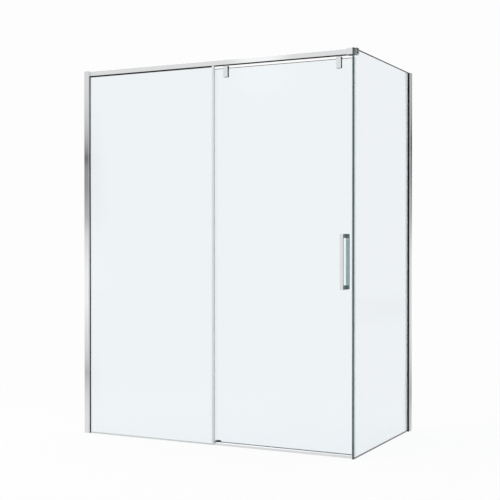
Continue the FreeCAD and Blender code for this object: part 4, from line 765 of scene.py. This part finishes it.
# Floor guide: a moulded black acetal fork that keeps the foot of the door in line. The mould was
# spark eroded, which leaves a fine even grain.
SPARK_GRAIN = 0.6 * MM
guide_acetal = bpy.data.materials.new("black moulded acetal")
tree = emptied(guide_acetal)
grain = add(tree, "ShaderNodeTexVoronoi", {
    "Vector": add(tree, "ShaderNodeTexCoord").outputs["Object"], "Scale": 1 / SPARK_GRAIN,
})
tone = add(tree, "ShaderNodeMix", {
    0: grain.outputs["Distance"], 6: linear("1B1D1E"), 7: linear("2B2E30"),
}, data_type="RGBA")
gloss = add(tree, "ShaderNodeMapRange", {"Value": grain.outputs["Distance"], "To Min": 0.4, "To Max": 0.6})
relief = add(tree, "ShaderNodeBump", {
    "Height": grain.outputs["Distance"], "Strength": 0.15, "Distance": 0.1 * MM,
})
acetal = add(tree, "ShaderNodeBsdfPrincipled", {
    "Base Color": tone.outputs[2], "Roughness": gloss.outputs["Result"], "IOR": 1.48,
    "Normal": relief.outputs["Normal"],
})
add(tree, "ShaderNodeOutputMaterial", {"Surface": acetal.outputs["BSDF"]})
dress(guide_acetal, "door_guide", "rail_stops")

# Door pane and its seals: the same float glass, with a bulb seal on the edge that closes and a fin on
# the edge that trails, both of clear extruded PVC. A band of face at the head of the door pane is
# painted dark, a painted reflection of its edge. The clip along the foot is of a greyer PVC that the
# light just comes through; its grey is painted shade, for the shaded gap between door and threshold.
# The packing strip under the return pane is of the same kind, but smoky: its dark tone carries on
# the painted reflection at the foot of the return pane.
pane("door_glass", "door", 1, top_painted_band=2 * MM)

MILK = 25 * MM


def seal_pvc(name, low, high, cover):
    """Soft extruded PVC: a milky mottle between two tones, and how much of what is behind it covers."""
    material = bpy.data.materials.new(name)
    tree = emptied(material)
    milk = add(tree, "ShaderNodeTexNoise", {
        "Vector": add(tree, "ShaderNodeTexCoord").outputs["Object"], "Scale": 1 / MILK, "Detail": 2.0,
    })
    tone = add(tree, "ShaderNodeMix", {
        0: milk.outputs["Fac"], 6: linear(low), 7: linear(high),
    }, data_type="RGBA")
    gloss = add(tree, "ShaderNodeMapRange", {"Value": milk.outputs["Fac"], "To Min": 0.15, "To Max": 0.3})
    pvc = add(tree, "ShaderNodeBsdfPrincipled", {
        "Base Color": tone.outputs[2], "Roughness": gloss.outputs["Result"], "IOR": 1.53, "Alpha": cover,
    })
    add(tree, "ShaderNodeOutputMaterial", {"Surface": pvc.outputs["BSDF"]})
    return material


dress(seal_pvc("milky clear PVC", "DDE4E3", "EAF0EF", 0.12), "door_strike_seal", "door_trailing_seal")
# Painted shade: the foot clip's grey stands for the shade in the gap above the threshold.
dress(seal_pvc("grey translucent PVC, painted gap shade", "8A9494", "97A1A1", 0.5), "door_bottom_seal")
# Painted reflection: the packing strip's dark tone carries on the dark line at the return pane's foot.
dress(seal_pvc("smoky translucent PVC, painted edge line", "262B2B", "313737", 0.45), "side_floor_strip")

# Hangers: two cast and chrome plated clamps hold the top of the door between vinyl pads. Each
# has a rear plate drawn up by two screws, with a nylon bush around each screw in the glass.
dress(cast_chrome, "left_hanger_block", "right_hanger_block", "hanger_clamps")
dress(pad_vinyl, "hanger_pads")
dress(bush_nylon, "hanger_bushes")
HANGER_FACE = -386.0 * MM
HANGER_SHANK = 18 * MM
HANGERS_ACROSS = (69.3 * MM, 696.5 * MM)
HANGER_SCREW_LEVELS = (1923 * MM, 1943 * MM)
hanger_seats = []
for across in HANGERS_ACROSS:
    for level in HANGER_SCREW_LEVELS:
        hanger_seats.append(((across, HANGER_FACE, level), (0, 1, 0), HANGER_SHANK))
screws("hanger_screws", "door", hanger_seats, PAN_HEAD)

# Trolleys: milled stainless bars on the hanger studs that run inside the rail, each with a nylon
# bush for either axle. The studs, nuts and axles are plain stainless stock.
dress(milled_steel, "left_trolley", "right_trolley")
dress(bush_nylon, "trolley_bushes")
dress(screw_steel, "hanger_studs", "hanger_nuts")

# Wheels: turned white acetal, a pair pressed on each axle, with a recess in both sides around the
# hub. One tree of nodes turns the wheel and sets it on both ends of the axle. The marks of the tool,
# half a millimetre wide, are drawn four times as coarse, so that they show.
TURNING = 0.5 * MM
TURNING_COARSER = 4
wheel_acetal = bpy.data.materials.new("white turned acetal")
tree = emptied(wheel_acetal)
turned = add(tree, "ShaderNodeTexNoise", {
    "Vector": add(tree, "ShaderNodeTexCoord").outputs["Object"], "Detail": 3.0,
    "Scale": 1 / (TURNING * TURNING_COARSER),
})
tone = add(tree, "ShaderNodeMix", {
    0: turned.outputs["Fac"], 6: linear("DFDED8"), 7: linear("EFEEE9"),
}, data_type="RGBA")
gloss = add(tree, "ShaderNodeMapRange", {"Value": turned.outputs["Fac"], "To Min": 0.32, "To Max": 0.48})
white_acetal = add(tree, "ShaderNodeBsdfPrincipled", {
    "Base Color": tone.outputs[2], "Roughness": gloss.outputs["Result"], "IOR": 1.48,
})
add(tree, "ShaderNodeOutputMaterial", {"Surface": white_acetal.outputs["BSDF"]})

WHEEL_SIDES = 64
CHAMFER_TAPER = 0.91
RECESS_TAPER = 0.84
HUB_TAPER = 0.95
wheel_tree = bpy.data.node_groups.new("turned wheels", "GeometryNodeTree")
wheel_tree.interface.new_socket("Hubs", in_out="INPUT", socket_type="NodeSocketGeometry")
for size in ("Radius", "Tread width", "Rim chamfer", "Recess", "Bore"):
    wheel_tree.interface.new_socket(size, in_out="INPUT", socket_type="NodeSocketFloat")
wheel_tree.interface.new_socket("Finish", in_out="INPUT", socket_type="NodeSocketMaterial")
wheel_tree.interface.new_socket("Wheels", in_out="OUTPUT", socket_type="NodeSocketGeometry")
given = add(wheel_tree, "NodeGroupInput").outputs
tread = add(wheel_tree, "GeometryNodeMeshCylinder", {
    "Vertices": WHEEL_SIDES, "Radius": given["Radius"], "Depth": given["Tread width"],
})
sides = add(wheel_tree, "FunctionNodeBooleanMath", {
    0: tread.outputs["Top"], 1: tread.outputs["Bottom"],
}, operation="OR")
sunk = add(wheel_tree, "ShaderNodeMath", {0: given["Recess"], 1: -1.0}, operation="MULTIPLY")
body, selected = tread.outputs["Mesh"], sides.outputs["Boolean"]
for lift, shrink in (
    (given["Rim chamfer"], CHAMFER_TAPER), (0.0, RECESS_TAPER), (sunk.outputs[0], HUB_TAPER),
):
    ring = add(wheel_tree, "GeometryNodeExtrudeMesh", {
        "Mesh": body, "Selection": selected, "Offset Scale": lift, "Individual": True,
    })
    drawn_in = add(wheel_tree, "GeometryNodeScaleElements", {
        "Geometry": ring.outputs["Mesh"], "Selection": ring.outputs["Top"], "Scale": shrink,
    })
    body, selected = drawn_in.outputs["Geometry"], ring.outputs["Top"]
through = add(wheel_tree, "ShaderNodeMath", {0: given["Tread width"], 1: 3.0}, operation="MULTIPLY")
bore = add(wheel_tree, "GeometryNodeMeshCylinder", {
    "Vertices": HEAD_SIDES, "Radius": given["Bore"], "Depth": through.outputs[0],
})
wheel = add(wheel_tree, "GeometryNodeMeshBoolean", {
    "Mesh 1": body, "Mesh 2": bore.outputs["Mesh"],
}, operation="DIFFERENCE")
aim = add(wheel_tree, "GeometryNodeInputNamedAttribute", {"Name": "aim"}, data_type="FLOAT_VECTOR")
turn = add(wheel_tree, "FunctionNodeAlignRotationToVector", {"Vector": aim.outputs["Attribute"]}, axis="Z")
points = add(wheel_tree, "GeometryNodeMeshToPoints", {"Mesh": given["Hubs"]})
pair = add(wheel_tree, "GeometryNodeInstanceOnPoints", {
    "Points": points.outputs["Points"], "Instance": wheel.outputs["Mesh"],
    "Rotation": turn.outputs["Rotation"],
})
solid = add(wheel_tree, "GeometryNodeRealizeInstances", {"Geometry": pair.outputs["Instances"]})
coated = add(wheel_tree, "GeometryNodeSetMaterial", {
    "Geometry": solid.outputs["Geometry"], "Material": given["Finish"],
})
add(wheel_tree, "NodeGroupOutput", {"Wheels": coated.outputs["Geometry"]})

WHEEL = {
    "Radius": 9.0 * MM, "Tread width": 3.4 * MM, "Rim chamfer": 0.8 * MM, "Recess": 0.7 * MM,
    "Bore": 2.02 * MM, "Finish": wheel_acetal,
}
for wheelset in ("left_trolley_left", "left_trolley_right", "right_trolley_left", "right_trolley_right"):
    dress(milled_steel, f"{wheelset}_axle")
    low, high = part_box(f"{wheelset}_wheels")
    middle = (low + high) / 2
    half_width = WHEEL["Tread width"] / 2 + WHEEL["Rim chamfer"]
    hubs = []
    for back in (low.y + half_width, high.y - half_width):
        hubs.append(((middle.x, back, middle.z), (0, 1, 0), 0.0))
    pair = grown(f"{wheelset}_turned_wheels", wheel_tree, hubs, WHEEL)
    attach(pair, f"{wheelset}_wheelset")
    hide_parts(f"{wheelset}_wheels")

# Door stops: acetal blocks in the roller channel, each held by a set screw from below, with a
# black rubber buffer that meets the trolley.
dress(gasket_rubber, "stop_buffers")
dress(screw_steel, "stop_screws")

# Handles: a flat bar on two square posts on each face of the door, cast and chrome plated, with
# black rubber washers on the glass and a stud through it that draws the two together. The inner bar
# and posts get a darker, greener copy of the same chrome: painted shade, for the shade they stand in
# behind the door glass.
dress(cast_chrome, "outer_handle_bar", "outer_handle_posts")
dress(polished_chrome("chrome on cast zinc, painted shade", "B6C2C1"), "inner_handle_bar", "inner_handle_posts")
dress(gasket_rubber, "handle_washers")
dress(bush_nylon, "handle_bushes")
dress(screw_steel, "handle_studs")
